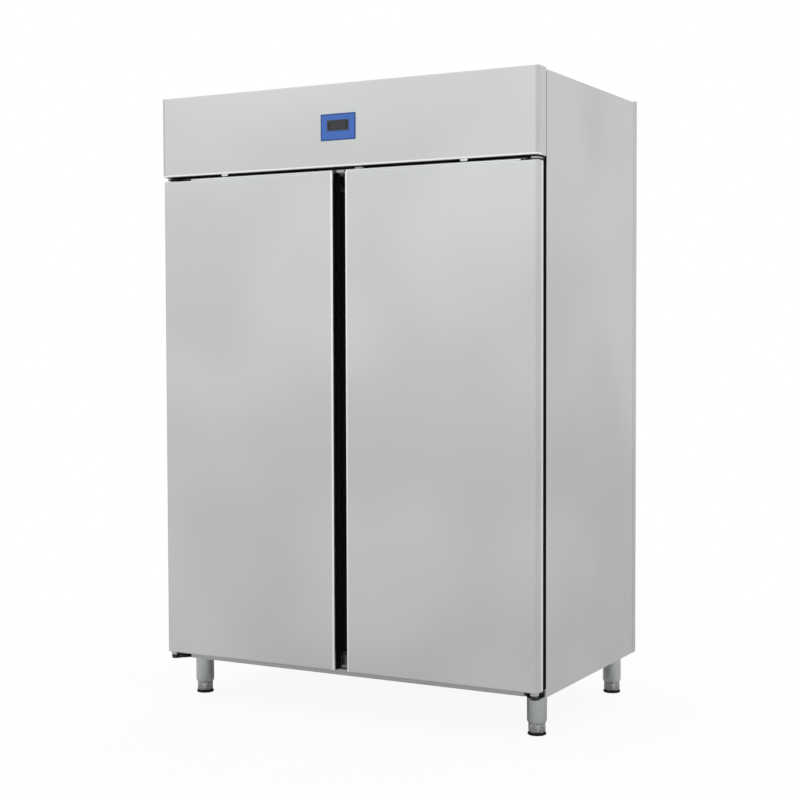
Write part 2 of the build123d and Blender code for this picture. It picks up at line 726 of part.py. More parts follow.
def door_gasket():
    """Magnetic gasket of the right door: clip base, bellows neck and magnet head."""
    depth = FACE_Y - GASKET_GAP - DOOR_RIM_Y
    half = GASKET_WIDTH / 2
    neck = GASKET_NECK / 2
    waist = GASKET_BASE
    head = depth - GASKET_HEAD
    outline = [
        (-half, 0),
        (half, 0),
        (half, waist / 2),
        (neck, waist),
        (neck - waist / 2, (waist + head) / 2),
        (neck, head),
        (half, head),
        (half, depth - waist / 4),
        (half - waist / 4, depth),
        (waist / 4 - half, depth),
        (-half, depth - waist / 4),
        (-half, head),
        (-neck, head),
        (waist / 2 - neck, (waist + head) / 2),
        (-neck, waist),
        (-half, waist / 2),
    ]
    inset = GASKET_INSET + half
    width, height = plug_size(inset)
    middle_x = (DOOR_FREE_X + DOOR_OUTER_X) / 2
    middle_z = (DOOR_BOTTOM_Z + DOOR_TOP_Z) / 2
    side_x = middle_x + width / 2
    section_plane = Plane(origin=(side_x, DOOR_RIM_Y, middle_z), x_dir=(1, 0, 0), z_dir=(0, 0, 1))
    section = section_plane * make_face(Polyline(*outline, close=True))
    path = Polyline(
        (side_x, DOOR_RIM_Y, middle_z),
        (side_x, DOOR_RIM_Y, middle_z - height / 2),
        (side_x - width, DOOR_RIM_Y, middle_z - height / 2),
        (side_x - width, DOOR_RIM_Y, middle_z + height / 2),
        (side_x, DOOR_RIM_Y, middle_z + height / 2),
        (side_x, DOOR_RIM_Y, middle_z),
    )
    return sweep(section, path=path, transition=Transition.RIGHT)


def door_bushes():
    """Flanged square hinge bushes at the top and bottom of the right door."""
    bore = PIN_RADIUS + PIN_RUNNING_FIT
    top = square_post(DOOR_TOP_Z - BUSH_LENGTH, DOOR_TOP_Z, BUSH_HALF)
    top += square_post(DOOR_TOP_Z, DOOR_TOP_Z + BUSH_FLANGE, BUSH_FLANGE_HALF)
    bottom = square_post(DOOR_BOTTOM_Z, DOOR_BOTTOM_Z + BUSH_LENGTH, BUSH_HALF)
    bottom += square_post(DOOR_BOTTOM_Z - BUSH_FLANGE, DOOR_BOTTOM_Z, BUSH_FLANGE_HALF)
    top -= post(PIN_X, PIN_Y, DOOR_TOP_Z - 2 * BUSH_LENGTH, DOOR_TOP_Z + BUSH_LENGTH, bore)
    bottom -= post(PIN_X, PIN_Y, DOOR_BOTTOM_Z - BUSH_LENGTH, DOOR_BOTTOM_Z + 2 * BUSH_LENGTH, bore)
    return [top, bottom]


def bracket_plate(z0):
    """Horizontal plate of a right hinge bracket with a blunt nose about the pin."""
    nose = [(PIN_X + x, PIN_Y + y) for x, y in arc_points(BRACKET_NOSE, 180, 360, BEND_STEPS)]
    base = [
        (PIN_X + BRACKET_NOSE, FACE_Y),
        (PIN_X - BRACKET_REACH, FACE_Y),
        (PIN_X - BRACKET_REACH, FACE_Y - BRACKET_NOSE),
    ]
    outline = make_face(Polyline(*nose, *base, close=True))
    return Pos(0, 0, z0) * extrude(outline, amount=BRACKET_PLATE, dir=(0, 0, 1))


def bracket_flange(z0, z1):
    """Upright flange of a right hinge bracket."""
    left = PIN_X - BRACKET_REACH
    right = PIN_X + BRACKET_NOSE
    return block(left, right, FACE_Y - BRACKET_PLATE, FACE_Y, z0, z1)


UPPER_PLATE_Z = DECK_Z - BRACKET_DROP - BRACKET_PLATE
UPPER_FLANGE_Z = UPPER_PLATE_Z - BRACKET_FLANGE
LOWER_PLATE_TOP_Z = BASE_Z + BRACKET_PLATE
LOWER_FLANGE_Z = LOWER_PLATE_TOP_Z + BRACKET_FLANGE


def hinge_brackets():
    """Upper and lower pin brackets of the right door and their mirror images."""
    upper = bracket_plate(UPPER_PLATE_Z)
    upper += bracket_flange(UPPER_FLANGE_Z, UPPER_PLATE_Z)
    upper_pin_z = DOOR_TOP_Z - PIN_ENGAGEMENT
    upper += post(PIN_X, PIN_Y, upper_pin_z, UPPER_PLATE_Z, PIN_RADIUS)
    lower = bracket_plate(BASE_Z)
    lower += bracket_flange(LOWER_PLATE_TOP_Z, LOWER_FLANGE_Z)
    collar_top = DOOR_BOTTOM_Z - BUSH_FLANGE - COLLAR_GAP
    lower += square_post(LOWER_PLATE_TOP_Z, collar_top, COLLAR_HALF)
    lower += post(PIN_X, PIN_Y, collar_top, DOOR_BOTTOM_Z + PIN_ENGAGEMENT, PIN_RADIUS)
    return [upper, lower, mirrored(upper), mirrored(lower)]


def header_ends(x, length):
    """End points of a barrel or wire on the header hinge axis."""
    start = (x - length / 2, HEADER_AXIS_Y, HEADER_AXIS_Z)
    end = (x + length / 2, HEADER_AXIS_Y, HEADER_AXIS_Z)
    return start, end


def header_barrel(x):
    """Rolled barrel about the header hinge axis."""
    return prism(*header_ends(x, KNUCKLE_LENGTH), KNUCKLE_RADIUS, SMALL_FACETS)


def header_panel():
    """Folded front of the machine bay with hinge barrels, pull tabs and controller window."""
    outer = block(-HALF_WIDTH, HALF_WIDTH, FRONT_Y, HEADER_REAR_Y, DECK_Z, HEIGHT)
    outer = fillet(outer.edges().group_by(Axis.Y)[0], HEADER_EDGE_RADIUS)
    inner = block(
        SHEET - HALF_WIDTH,
        HALF_WIDTH - SHEET,
        FRONT_Y + SHEET,
        HEADER_REAR_Y + SHEET,
        DECK_Z + SHEET,
        HEIGHT - SHEET,
    )
    inner = chamfer(inner.edges().group_by(Axis.Y)[0], HEADER_EDGE_RADIUS - SHEET)
    panel = outer - inner
    half_w = CASE_WIDTH / 2 + CASE_FIT
    half_h = CASE_HEIGHT / 2 + CASE_FIT
    rear = FRONT_Y + 2 * SHEET
    panel -= block(-half_w, half_w, FRONT_Y - SHEET, rear, DISPLAY_Z - half_h, DISPLAY_Z + half_h)
    for side in (-1, 1):
        x = side * LEAF_CENTRE_X
        half = KNUCKLE_LENGTH / 2
        barrel = header_barrel(x)
        arm_front = HEADER_AXIS_Y - KNUCKLE_RADIUS
        arm = block(x - half, x + half, arm_front, HEADER_AXIS_Y, HEADER_AXIS_Z, HEIGHT - SHEET / 2)
        panel += barrel + arm
        bore = HINGE_WIRE_RADIUS + HINGE_WIRE_FIT
        panel -= prism(*header_ends(x, 2 * KNUCKLE_LENGTH), bore, SMALL_FACETS, across_flats=True)
        leaf_x = x - side * (KNUCKLE_LENGTH + KNUCKLE_GAP)
        reach = half + KNUCKLE_GAP
        notch_z = HEIGHT - 2 * SHEET
        panel -= block(
            leaf_x - reach,
            leaf_x + reach,
            HEADER_AXIS_Y,
            HEADER_REAR_Y + SHEET,
            notch_z,
            HEIGHT + SHEET,
        )
        tab_x = side * TAB_X
        tab_half = TAB_WIDTH / 2
        tab_front = FRONT_Y + 2 * HEADER_EDGE_RADIUS
        tab = block(
            tab_x - tab_half,
            tab_x + tab_half,
            tab_front,
            tab_front + 2 * SHEET,
            DECK_Z - TAB_DROP,
            DECK_Z + SHEET / 2,
        )
        panel += chamfer(tab.edges().filter_by(Axis.Y).group_by(Axis.Z)[0], TAB_DROP / 2)
    return panel


def header_hinges():
    """Fixed leaves of the header hinges, each with a barrel and the wire that the panel turns on."""
    hinges = []
    half = KNUCKLE_LENGTH / 2
    reach = KNUCKLE_LENGTH + KNUCKLE_GAP
    for side in (-1, 1):
        x = side * LEAF_CENTRE_X
        centre = x - side * reach
        leaf_z = HEADER_AXIS_Z - LEAF_HEIGHT
        leaf = block(centre - half, centre + half, FACE_Y - LEAF_SHEET, FACE_Y, leaf_z, HEADER_AXIS_Z)
        web_z = HEADER_AXIS_Z - LEAF_SHEET
        leaf += block(centre - half, centre + half, HEADER_AXIS_Y, FACE_Y, web_z, HEADER_AXIS_Z)
        leaf += header_barrel(centre)
        leaf += rod(*header_ends(x - side * half, 2 * KNUCKLE_LENGTH), HINGE_WIRE_RADIUS)
        hinges.append(leaf)
    return hinges


def controller_fascia():
    """Coloured plate around the display, bonded to the header."""
    plane = rear_plane(0, FRONT_Y, FASCIA_Z)
    face = plane * RectangleRounded(FASCIA_WIDTH, FASCIA_HEIGHT, FASCIA_CORNER)
    plate = extrude(face, amount=FASCIA_SHEET, dir=(0, -1, 0))
    half_w = CASE_WIDTH / 2 + CASE_FIT
    half_h = CASE_HEIGHT / 2 + CASE_FIT
    front = FRONT_Y - 2 * FASCIA_SHEET
    return plate - block(-half_w, half_w, front, FRONT_Y, DISPLAY_Z - half_h, DISPLAY_Z + half_h)


def controller_case():
    """Panel-mounted controller: bezel in front of the fascia and case behind it."""
    bezel_back = FRONT_Y - FASCIA_SHEET
    bezel_depth = CONTROL_PROUD - FASCIA_SHEET
    plane = rear_plane(0, bezel_back, DISPLAY_Z)
    face = plane * RectangleRounded(DISPLAY_WIDTH, DISPLAY_HEIGHT, DISPLAY_CORNER)
    bezel = extrude(face, amount=bezel_depth, dir=(0, -1, 0))
    rim_plane = rear_plane(0, bezel_back - bezel_depth, DISPLAY_Z)
    pocket_face = rim_plane * window_outline(0)
    pocket = extrude(pocket_face, amount=WINDOW_SHEET, dir=AXIS_Y_DIR)
    half_w = CASE_WIDTH / 2
    half_h = CASE_HEIGHT / 2
    rear = FRONT_Y + CASE_DEPTH
    case = block(-half_w, half_w, bezel_back, rear, DISPLAY_Z - half_h, DISPLAY_Z + half_h)
    return bezel + case - pocket


def window_outline(inset):
    """Outline of the display window inside the bezel."""
    width = DISPLAY_WIDTH - 2 * (BEZEL_RIM + inset)
    height = DISPLAY_HEIGHT - 2 * (BEZEL_RIM + inset)
    return Rectangle(width, height)


def display_window():
    """Smoked window of the controller."""
    front = FRONT_Y - CONTROL_PROUD
    face = rear_plane(0, front, DISPLAY_Z) * window_outline(CASE_FIT / 2)
    return extrude(face, amount=WINDOW_SHEET, dir=AXIS_Y_DIR)


def leg_positions():
    """Leg names and centres."""
    x = HALF_WIDTH - LEG_SIDE_INSET
    front = FACE_Y + LEG_END_INSET
    back = BACK_Y - LEG_END_INSET
    return {
        "front_left": (-x, front),
        "front_right": (x, front),
        "back_left": (-x, back),
        "back_right": (x, back),
    }


def leg_tube(x, y):
    """Leg with its top flange and the threaded bore that carries the foot."""
    flange_z = BASE_Z - LEG_FLANGE_SHEET
    half = LEG_FLANGE / 2
    tube = post(x, y, LEG_FOOT_LINE, flange_z, LEG_RADIUS)
    tube += block(x - half, x + half, y - half, y + half, flange_z, BASE_Z)
    bore = FOOT_STEM_RADIUS + FOOT_STEM_FIT
    return tube - prism((x, y, 0), (x, y, flange_z), bore, SMALL_FACETS, across_flats=True)


def levelling_foot(x, y):
    """Screw foot: hexagon body and threaded stem."""
    top = LEG_FOOT_LINE - FOOT_GAP
    hexagon = Pos(x, y, PAD_HEIGHT) * RegularPolygon(FOOT_RADIUS, 6)
    body = extrude(hexagon, amount=top - PAD_HEIGHT, dir=(0, 0, 1))
    return body + prism((x, y, top), (x, y, top + FOOT_STEM_LENGTH), FOOT_STEM_RADIUS, SMALL_FACETS)


def foot_pad(x, y):
    """Plastic glide under a foot."""
    pad = prism((x, y, 0), (x, y, PAD_HEIGHT), PAD_RADIUS, PAD_FACETS)
    return chamfer(pad.edges().group_by(Axis.Z)[-1], PAD_CHAMFER)


def slot_heights():
    """Heights of the slots along an upright."""
    count = int((UPRIGHT_LENGTH - SLOT_PITCH) // SLOT_PITCH)
    return [UPRIGHT_BOTTOM_Z + SLOT_PITCH * (index + 0.5) for index in range(count + 1)]


def side_upright(y0):
    """Slotted channel on the right side wall."""
    middle = UPRIGHT_SHEET / 2
    face = SIDE_UPRIGHT_X + middle
    y1 = y0 + UPRIGHT_WIDTH
    points = [
        (CAVITY_HALF, y0 + middle),
        (face, y0 + middle),
        (face, y1 - middle),
        (CAVITY_HALF, y1 - middle),
    ]
    top = UPRIGHT_BOTTOM_Z + UPRIGHT_LENGTH
    channel = folded_upright(points, UPRIGHT_SHEET, 0.0, UPRIGHT_BOTTOM_Z, top)
    middle_y = (y0 + y1) / 2
    x0 = SIDE_UPRIGHT_X - UPRIGHT_SHEET
    x1 = SIDE_UPRIGHT_X + 2 * UPRIGHT_SHEET
    half = SLOT_WIDTH / 2
    slots = [block(x0, x1, middle_y - half, middle_y + half, z, z + SLOT_HEIGHT) for z in slot_heights()]
    return channel - slots


def centre_upright(y0):
    """Square tube in the middle of the cabinet."""
    half = POST_WIDTH / 2
    y1 = y0 + UPRIGHT_WIDTH
    wall = UPRIGHT_SHEET
    top = UPRIGHT_BOTTOM_Z + UPRIGHT_LENGTH
    tube = block(-half, half, y0, y1, UPRIGHT_BOTTOM_Z, top)
    return tube - block(wall - half, half - wall, y0 + wall, y1 - wall, UPRIGHT_BOTTOM_Z, top)


def shelf_uprights():
    """Four wall channels and two middle posts."""
    wall = [side_upright(FRONT_UPRIGHT_Y), side_upright(REAR_UPRIGHT_Y)]
    middle = [centre_upright(FRONT_UPRIGHT_Y), centre_upright(REAR_UPRIGHT_Y)]
    return wall + [mirrored(channel) for channel in wall] + middle


def shelf_levels():
    """Top faces of the runner legs."""
    return [FLOOR_Z + SHELF_FIRST + SHELF_PITCH * index for index in range(SHELF_COUNT)]


def shelf_runners():
    """Pairs of angle runners for the shelves of both bays."""
    middle = RUNNER_SHEET / 2
    y0 = BAY_CENTRE_Y - RUNNER_LENGTH / 2
    y1 = BAY_CENTRE_Y + RUNNER_LENGTH / 2
    runners = []
    for level in shelf_levels():
        leg_z = level - middle
        top_z = level + RUNNER_UPSTAND
        outer_x = SIDE_UPRIGHT_X - middle
        inner_x = POST_WIDTH / 2 + middle
        outer = [(outer_x, top_z), (outer_x, leg_z), (SIDE_UPRIGHT_X - RUNNER_LEG, leg_z)]
        inner = [(inner_x, top_z), (inner_x, leg_z), (POST_WIDTH / 2 + RUNNER_LEG, leg_z)]
        for points in (outer, inner):
            runner = folded_along(points, RUNNER_SHEET, 0.0, y0, y1)
            runners.extend([runner, mirrored(runner)])
    return runners


def wire_shelf():
    """Welded shelf centred on the origin: one barred face inside a frame with cut corners."""
    bar = SHELF_FRAME_BAR
    pitch = (SHELF_WIDTH - 2 * bar + SHELF_WIRE) / (SHELF_WIRE_COUNT + 1)
    face = chamfer(Rectangle(SHELF_WIDTH, SHELF_DEPTH).vertices(), SHELF_CORNER)
    slot = Rectangle(pitch - SHELF_WIRE, SHELF_DEPTH - 2 * bar)
    face -= [Pos(pitch * (index - SHELF_WIRE_COUNT / 2), 0) * slot for index in range(SHELF_WIRE_COUNT + 1)]
    return extrude(face, amount=SHELF_THICKNESS)


def wire_shelves():
    """Shelves on the runners of both bays."""
    shelf = wire_shelf()
    places = []
    for side in (-1, 1):
        for level in shelf_levels():
            places.append(Pos(side * BAY_CENTRE_X, BAY_CENTRE_Y, level))
    return [place * shelf for place in places]


def cover_outline(inset, rear, top):
    """Side outline of the evaporator housing, drawn in by an inset; points are in Y and Z."""
    front = COVER_FRONT_Y + inset
    bottom = COVER_BOTTOM_Z + inset
    slope = COVER_CHAMFER - inset * (2 - math.sqrt(2))
    return [(front, top), (front, bottom + slope), (front + slope, bottom), (rear, bottom), (rear, top)]


def evaporator_cover():
    """Housing under the ceiling, open above and behind, with two fan openings."""
    outer_face = Plane.YZ * make_face(Polyline(*cover_outline(0, COVER_BACK_Y, CEILING_Z), close=True))
    inner_points = cover_outline(SHEET, COVER_BACK_Y + SHEET, CEILING_Z + SHEET)
    inner_face = Plane.YZ * make_face(Polyline(*inner_points, close=True))
    outer = extrude(outer_face, amount=COVER_HALF_WIDTH, both=True)
    inner = extrude(inner_face, amount=COVER_HALF_WIDTH - SHEET, both=True)
    cover = outer - inner
    for side in (-1, 1):
        x = side * COOLER_FAN_OFFSET
        start = (x, COVER_FRONT_Y - SHEET, COOLER_FAN_Z)
        end = (x, COVER_FRONT_Y + 2 * SHEET, COOLER_FAN_Z)
        cover -= prism(start, end, COOLER_HOLE_RADIUS, LARGE_FACETS)
    return cover


def finned_block(width, depth, height, core, pitch, groove, end_plate):
    """Heat exchanger block with vertical fin grooves on both faces, centred in plan on the origin."""
    half_w = width / 2 - end_plate
    half_d = depth / 2
    half_core = core / 2
    count = int((2 * half_w) // pitch)
    first = -(count - 1) * pitch / 2
    half_groove = groove / 2
    near = [(-half_w - end_plate, -half_d)]
    far = [(-half_w - end_plate, half_d)]
    for index in range(count):
        x = first + index * pitch
        left = x - half_groove
        right = x + half_groove
        near.extend([(left, -half_d), (left, -half_core), (right, -half_core), (right, -half_d)])
        far.extend([(left, half_d), (left, half_core), (right, half_core), (right, half_d)])
    near.append((half_w + end_plate, -half_d))
    far.append((half_w + end_plate, half_d))
    outline = make_face(Polyline(*(near + far[::-1]), close=True))
    return extrude(outline, amount=height, dir=(0, 0, 1))


def evaporator_coil():
    """Finned coil hung from the ceiling inside the housing."""
    core = COIL_DEPTH - 2 * COIL_FIN_DEPTH
    coil = finned_block(
        2 * COIL_HALF_WIDTH, COIL_DEPTH, COIL_HEIGHT, core, COIL_FIN_PITCH, COIL_FIN_GROOVE, COIL_END_PLATE
    )
    middle_y = COVER_BACK_Y - COIL_BACK_GAP - COIL_DEPTH / 2
    return Pos(0, middle_y, CEILING_Z - COIL_HEIGHT) * coil


def axial_fan(hub_radius, tip_radius, depth):
    """Fan about the Y axis with pitched blades, its hub starting at the origin."""
    hub = prism((0, 0, 0), (0, depth, 0), hub_radius, SMALL_FACETS)
    root = hub_radius - 2 * FAN_BLADE_SHEET
    half = math.radians(FAN_BLADE_SPREAD / 2)
    corner_x = tip_radius * math.cos(half)
    corner_y = tip_radius * math.sin(half)
    root_y = root * math.sin(half)
    outline = [(corner_x, corner_y), (root, root_y), (root, -root_y), (corner_x, -corner_y), (tip_radius, 0)]
    blade = extrude(make_face(Polyline(*outline, close=True)), amount=FAN_BLADE_SHEET / 2, both=True)
    blade = Rot(-90, 0, 0) * Rot(FAN_PITCH, 0, 0) * blade
    fan = hub
    for index in range(FAN_BLADE_COUNT):
        fan += Pos(0, depth / 2, 0) * Rot(0, 360 * index / FAN_BLADE_COUNT, 0) * blade
    return fan - rod((0, depth / 4, 0), (0, 2 * depth, 0), SHAFT_RADIUS + SHAFT_FIT)


def cooler_fan(side):
    """Evaporator fan on one side."""
    fan = axial_fan(COOLER_HUB_RADIUS, COOLER_FAN_RADIUS, COOLER_FAN_DEPTH)
    return Pos(side * COOLER_FAN_OFFSET, COOLER_FAN_Y, COOLER_FAN_Z) * fan


def shaft_start(fan_y, fan_depth):
    """Front end of a motor shaft inside its fan hub."""
    return fan_y + fan_depth / 4 + SHAFT_END_GAP


def evaporator_fan_motors():
    """Fan motors hung from the ceiling behind the evaporator fans."""
    motors = []
    for side in (-1, 1):
        x = side * COOLER_FAN_OFFSET
        rear = COOLER_MOTOR_Y + COOLER_MOTOR_LENGTH
        side_half = COOLER_MOTOR_RADIUS
        low = COOLER_FAN_Z - side_half
        high = COOLER_FAN_Z + side_half
        can = block(x - side_half, x + side_half, COOLER_MOTOR_Y, rear, low, high)
        tip = shaft_start(COOLER_FAN_Y, COOLER_FAN_DEPTH)
        shaft_end = (x, COOLER_MOTOR_Y + SHAFT_RADIUS, COOLER_FAN_Z)
        shaft = prism((x, tip, COOLER_FAN_Z), shaft_end, SHAFT_RADIUS, SMALL_FACETS)
        half = COOLER_STRAP / 2
        middle_y = (COOLER_MOTOR_Y + rear) / 2
        strap = block(x - half, x + half, middle_y - half, middle_y + half, COOLER_FAN_Z, CEILING_Z)
        motors.append(can + shaft + strap)
    return motors


def fan_guard(x, y, z, hole_radius):
    """Guard in front of a fan opening: flat rim and crossed bars."""
    plane = rear_plane(x, y, z)
    lap = hole_radius + GUARD_LAP
    face = RegularPolygon(lap, LARGE_FACETS) - RegularPolygon(lap - 2 * GUARD_BAR, LARGE_FACETS)
    for index in range(GUARD_BAR_COUNT):
        face += Rot(0, 0, 180 * index / GUARD_BAR_COUNT) * Rectangle(2 * (lap - GUARD_BAR), GUARD_BAR)
    return extrude(plane * face, amount=GUARD_SHEET, dir=(0, -1, 0))


def evaporator_fan_guards():
    """Guards on the two openings of the evaporator housing."""
    return [
        fan_guard(side * COOLER_FAN_OFFSET, COVER_FRONT_Y, COOLER_FAN_Z, COOLER_HOLE_RADIUS)
        for side in (-1, 1)
    ]


def unit_tray():
    """Base tray of the condensing unit."""
    half = TRAY_WIDTH / 2
    outer = block(
        TRAY_CENTRE_X - half,
        TRAY_CENTRE_X + half,
        TRAY_FRONT_Y,
        TRAY_FRONT_Y + TRAY_DEPTH,
        DECK_Z,
        DECK_Z + TRAY_LIP,
    )
    inner = block(
        TRAY_CENTRE_X - half + SHEET,
        TRAY_CENTRE_X + half - SHEET,
        TRAY_FRONT_Y + SHEET,
        TRAY_FRONT_Y + TRAY_DEPTH - SHEET,
        TRAY_TOP_Z,
        DECK_Z + 2 * TRAY_LIP,
    )
    return outer - inner


def loop_heights():
    """Middle heights of the return bends on the condenser ends."""
    pitch = CONDENSER_HEIGHT / CONDENSER_LOOP_COUNT
    return [TRAY_TOP_Z + pitch * (index + 0.5) for index in range(CONDENSER_LOOP_COUNT)]


def return_bend(x, y, z, side):
    """Half-ring return bend on an end plate of the condenser."""
    radius = CONDENSER_HEIGHT / CONDENSER_LOOP_COUNT / 4
    outer = arc_points(radius + TUBE_RADIUS, -90, 90, BEND_STEPS)
    inner = arc_points(radius - TUBE_RADIUS, 90, -90, BEND_STEPS)
    outline = [(side * across, up) for across, up in outer + inner]
    face = Plane.XZ * make_face(Polyline(*outline, close=True))
    return Pos(x, y, z) * extrude(face, amount=TUBE_RADIUS, both=True)


def condenser_coil():
    """Finned condenser block with return bends on its ends."""
    coil = finned_block(
        CONDENSER_WIDTH,
        CONDENSER_DEPTH,
        CONDENSER_HEIGHT,
        CONDENSER_CORE,
        CONDENSER_FIN_PITCH,
        CONDENSER_FIN_GROOVE,
        CONDENSER_END_PLATE,
    )
    middle_y = (CONDENSER_FRONT_Y + CONDENSER_BACK_Y) / 2
    coil = Pos(CONDENSER_CENTRE_X, middle_y, TRAY_TOP_Z) * coil
    for side in (-1, 1):
        x = CONDENSER_CENTRE_X + side * CONDENSER_WIDTH / 2
        for z in loop_heights():
            coil += return_bend(x, middle_y, z, side)
    return coil


def condenser_shroud():
    """Sheet shroud between the condenser and its fan."""
    half = CONDENSER_WIDTH / 2
    left = CONDENSER_CENTRE_X - half
    right = CONDENSER_CENTRE_X + half
    top = TRAY_TOP_Z + CONDENSER_HEIGHT
    skin = SHROUD_SHEET
    outer = block(left, right, CONDENSER_BACK_Y, SHROUD_BACK_Y, TRAY_TOP_Z, top)
    inner = block(
        left + skin,
        right - skin,
        CONDENSER_BACK_Y - skin,
        SHROUD_BACK_Y - skin,
        TRAY_TOP_Z + skin,
        top - skin,
    )
    start = (CONDENSER_CENTRE_X, CONDENSER_BACK_Y, CONDENSER_MID_Z)
    end = (CONDENSER_CENTRE_X, SHROUD_BACK_Y + skin, CONDENSER_MID_Z)
    return outer - inner - rod(start, end, SHROUD_HOLE_RADIUS)


def condenser_fan():
    """Condenser fan inside the shroud opening."""
    fan = axial_fan(CONDENSER_HUB_RADIUS, CONDENSER_FAN_RADIUS, CONDENSER_FAN_DEPTH)
    return Pos(CONDENSER_CENTRE_X, SHROUD_BACK_Y - CONDENSER_FAN_DEPTH, CONDENSER_MID_Z) * fan


def condenser_fan_motor():
    """Condenser fan motor on a stand bolted to the tray."""
    x = CONDENSER_CENTRE_X
    z = CONDENSER_MID_Z
    rear = CONDENSER_MOTOR_Y + CONDENSER_MOTOR_LENGTH
    can = prism((x, CONDENSER_MOTOR_Y, z), (x, rear, z), CONDENSER_MOTOR_RADIUS, LARGE_FACETS)
    can = chamfer(can.edges().group_by(Axis.Y)[-1], CONDENSER_MOTOR_GAP)
    tip = shaft_start(SHROUD_BACK_Y - CONDENSER_FAN_DEPTH, CONDENSER_FAN_DEPTH)
    shaft = prism((x, tip, z), (x, CONDENSER_MOTOR_Y + SHAFT_RADIUS, z), SHAFT_RADIUS, SMALL_FACETS)
    half = MOTOR_STRAP / 2
    middle_y = (CONDENSER_MOTOR_Y + rear) / 2
    stand = block(x - half, x + half, middle_y - half / 2, middle_y + half / 2, TRAY_TOP_Z, z)
    foot_z = TRAY_TOP_Z + STAND_PLATE
    foot = block(x - 2 * half, x + 2 * half, middle_y - half, middle_y + half, TRAY_TOP_Z, foot_z)
    return can + shaft + stand + foot


def shell_outline(grow):
    """Plan of the compressor's drawn shell, grown outwards."""
    width = COMPRESSOR_WIDTH + 2 * grow
    depth = COMPRESSOR_DEPTH + 2 * grow
    return eased_rectangle(width, depth, COMPRESSOR_CORNER + grow, SHELL_STEPS)


def compressor():
    """Hermetic compressor: drawn shells, weld seam, foot plate and terminal cover."""
    shell = extrude(shell_outline(0.0), amount=COMPRESSOR_HEIGHT)
    shell = chamfer(shell.edges().group_by(Axis.Z)[-1], COMPRESSOR_CROWN)
    shell = chamfer(shell.edges().group_by(Axis.Z)[-1], COMPRESSOR_CROWN_EASE)
    seam = Pos(0, 0, COMPRESSOR_SEAM_RISE) * extrude(shell_outline(COMPRESSOR_SEAM), amount=COMPRESSOR_SEAM)
    half_w = COMPRESSOR_WIDTH / 2 + COMPRESSOR_SEAM
    half_d = COMPRESSOR_DEPTH / 2 + COMPRESSOR_SEAM
    plate = block(-half_w, half_w, -half_d, half_d, -COMPRESSOR_PLATE, 0)
    terminal = block(
        COMPRESSOR_WIDTH / 2 - TERMINAL_PROUD,
        COMPRESSOR_WIDTH / 2 + TERMINAL_PROUD,
        -TERMINAL_WIDTH / 2,
        TERMINAL_WIDTH / 2,
        TERMINAL_RISE,
        TERMINAL_RISE + TERMINAL_HEIGHT,
    )
    place = Pos(COMPRESSOR_CENTRE_X, COMPRESSOR_Y, COMPRESSOR_BODY_Z)
    return place * (shell + seam + plate + terminal)


def compressor_mounts():
    """Rubber feet between the compressor plate and the tray."""
    mounts = []
    for side in (-1, 1):
        for end in (-1, 1):
            x = COMPRESSOR_CENTRE_X + side * (COMPRESSOR_WIDTH / 2 - 2 * MOUNT_RADIUS)
            y = COMPRESSOR_Y + end * (COMPRESSOR_DEPTH / 2 - 2 * MOUNT_RADIUS)
            mounts.append(prism((x, y, TRAY_TOP_Z), (x, y, COMPRESSOR_FOOT_Z), MOUNT_RADIUS, SMALL_FACETS))
    return mounts


DRIER_Y = CONDENSER_BACK_Y + DRIER_LENGTH
DRIER_Z = TRAY_TOP_Z + DRIER_RADIUS


def filter_drier():
    """Filter drier lying on the tray beside the condenser."""
    start = (DRIER_CENTRE_X, DRIER_Y - DRIER_LENGTH / 2, DRIER_Z)
    end = (DRIER_CENTRE_X, DRIER_Y + DRIER_LENGTH / 2, DRIER_Z)
    body = prism(start, end, DRIER_RADIUS, SMALL_FACETS)
    ends = body.edges().group_by(Axis.Y)
    return chamfer(ends[0] + ends[-1], DRIER_RADIUS / 2)


def refrigerant_tubes():
    """Discharge, liquid and suction lines of the condensing unit."""
    bend = 5 * TUBE_RADIUS
    crown_z = COMPRESSOR_BODY_Z + COMPRESSOR_HEIGHT
    rise_z = crown_z + 2 * bend
    middle_y = (CONDENSER_FRONT_Y + CONDENSER_BACK_Y) / 2
    top_z = TRAY_TOP_Z + CONDENSER_HEIGHT
    discharge_x = COMPRESSOR_CENTRE_X - COMPRESSOR_WIDTH / 8
    discharge = tube_along(
        [
            (discharge_x, COMPRESSOR_Y, crown_z),
            (discharge_x, COMPRESSOR_Y, rise_z),
            (discharge_x, middle_y, rise_z),
            (discharge_x, middle_y, top_z),
        ],
        TUBE_RADIUS,
        bend,
    )
    drier_start = DRIER_Y - DRIER_LENGTH / 2
    liquid_y = CONDENSER_BACK_Y - CONDENSER_DEPTH / 4
    liquid = tube_along(
        [
            (CONDENSER_RIGHT_X, liquid_y, DRIER_Z),
            (DRIER_CENTRE_X, liquid_y, DRIER_Z),
            (DRIER_CENTRE_X, drier_start, DRIER_Z),
        ],
        TUBE_RADIUS,
        bend,
    )
    suction_x = COMPRESSOR_CENTRE_X + COMPRESSOR_WIDTH / 8
    exit_y = COMPRESSOR_Y + COMPRESSOR_DEPTH
    suction = tube_along(
        [
            (suction_x, COMPRESSOR_Y, crown_z),
            (suction_x, COMPRESSOR_Y, rise_z),
            (suction_x, exit_y, rise_z),
            (suction_x, exit_y, TRAY_TOP_Z),
        ],
        TUBE_RADIUS,
        bend,
    )
    return [discharge, liquid, suction]


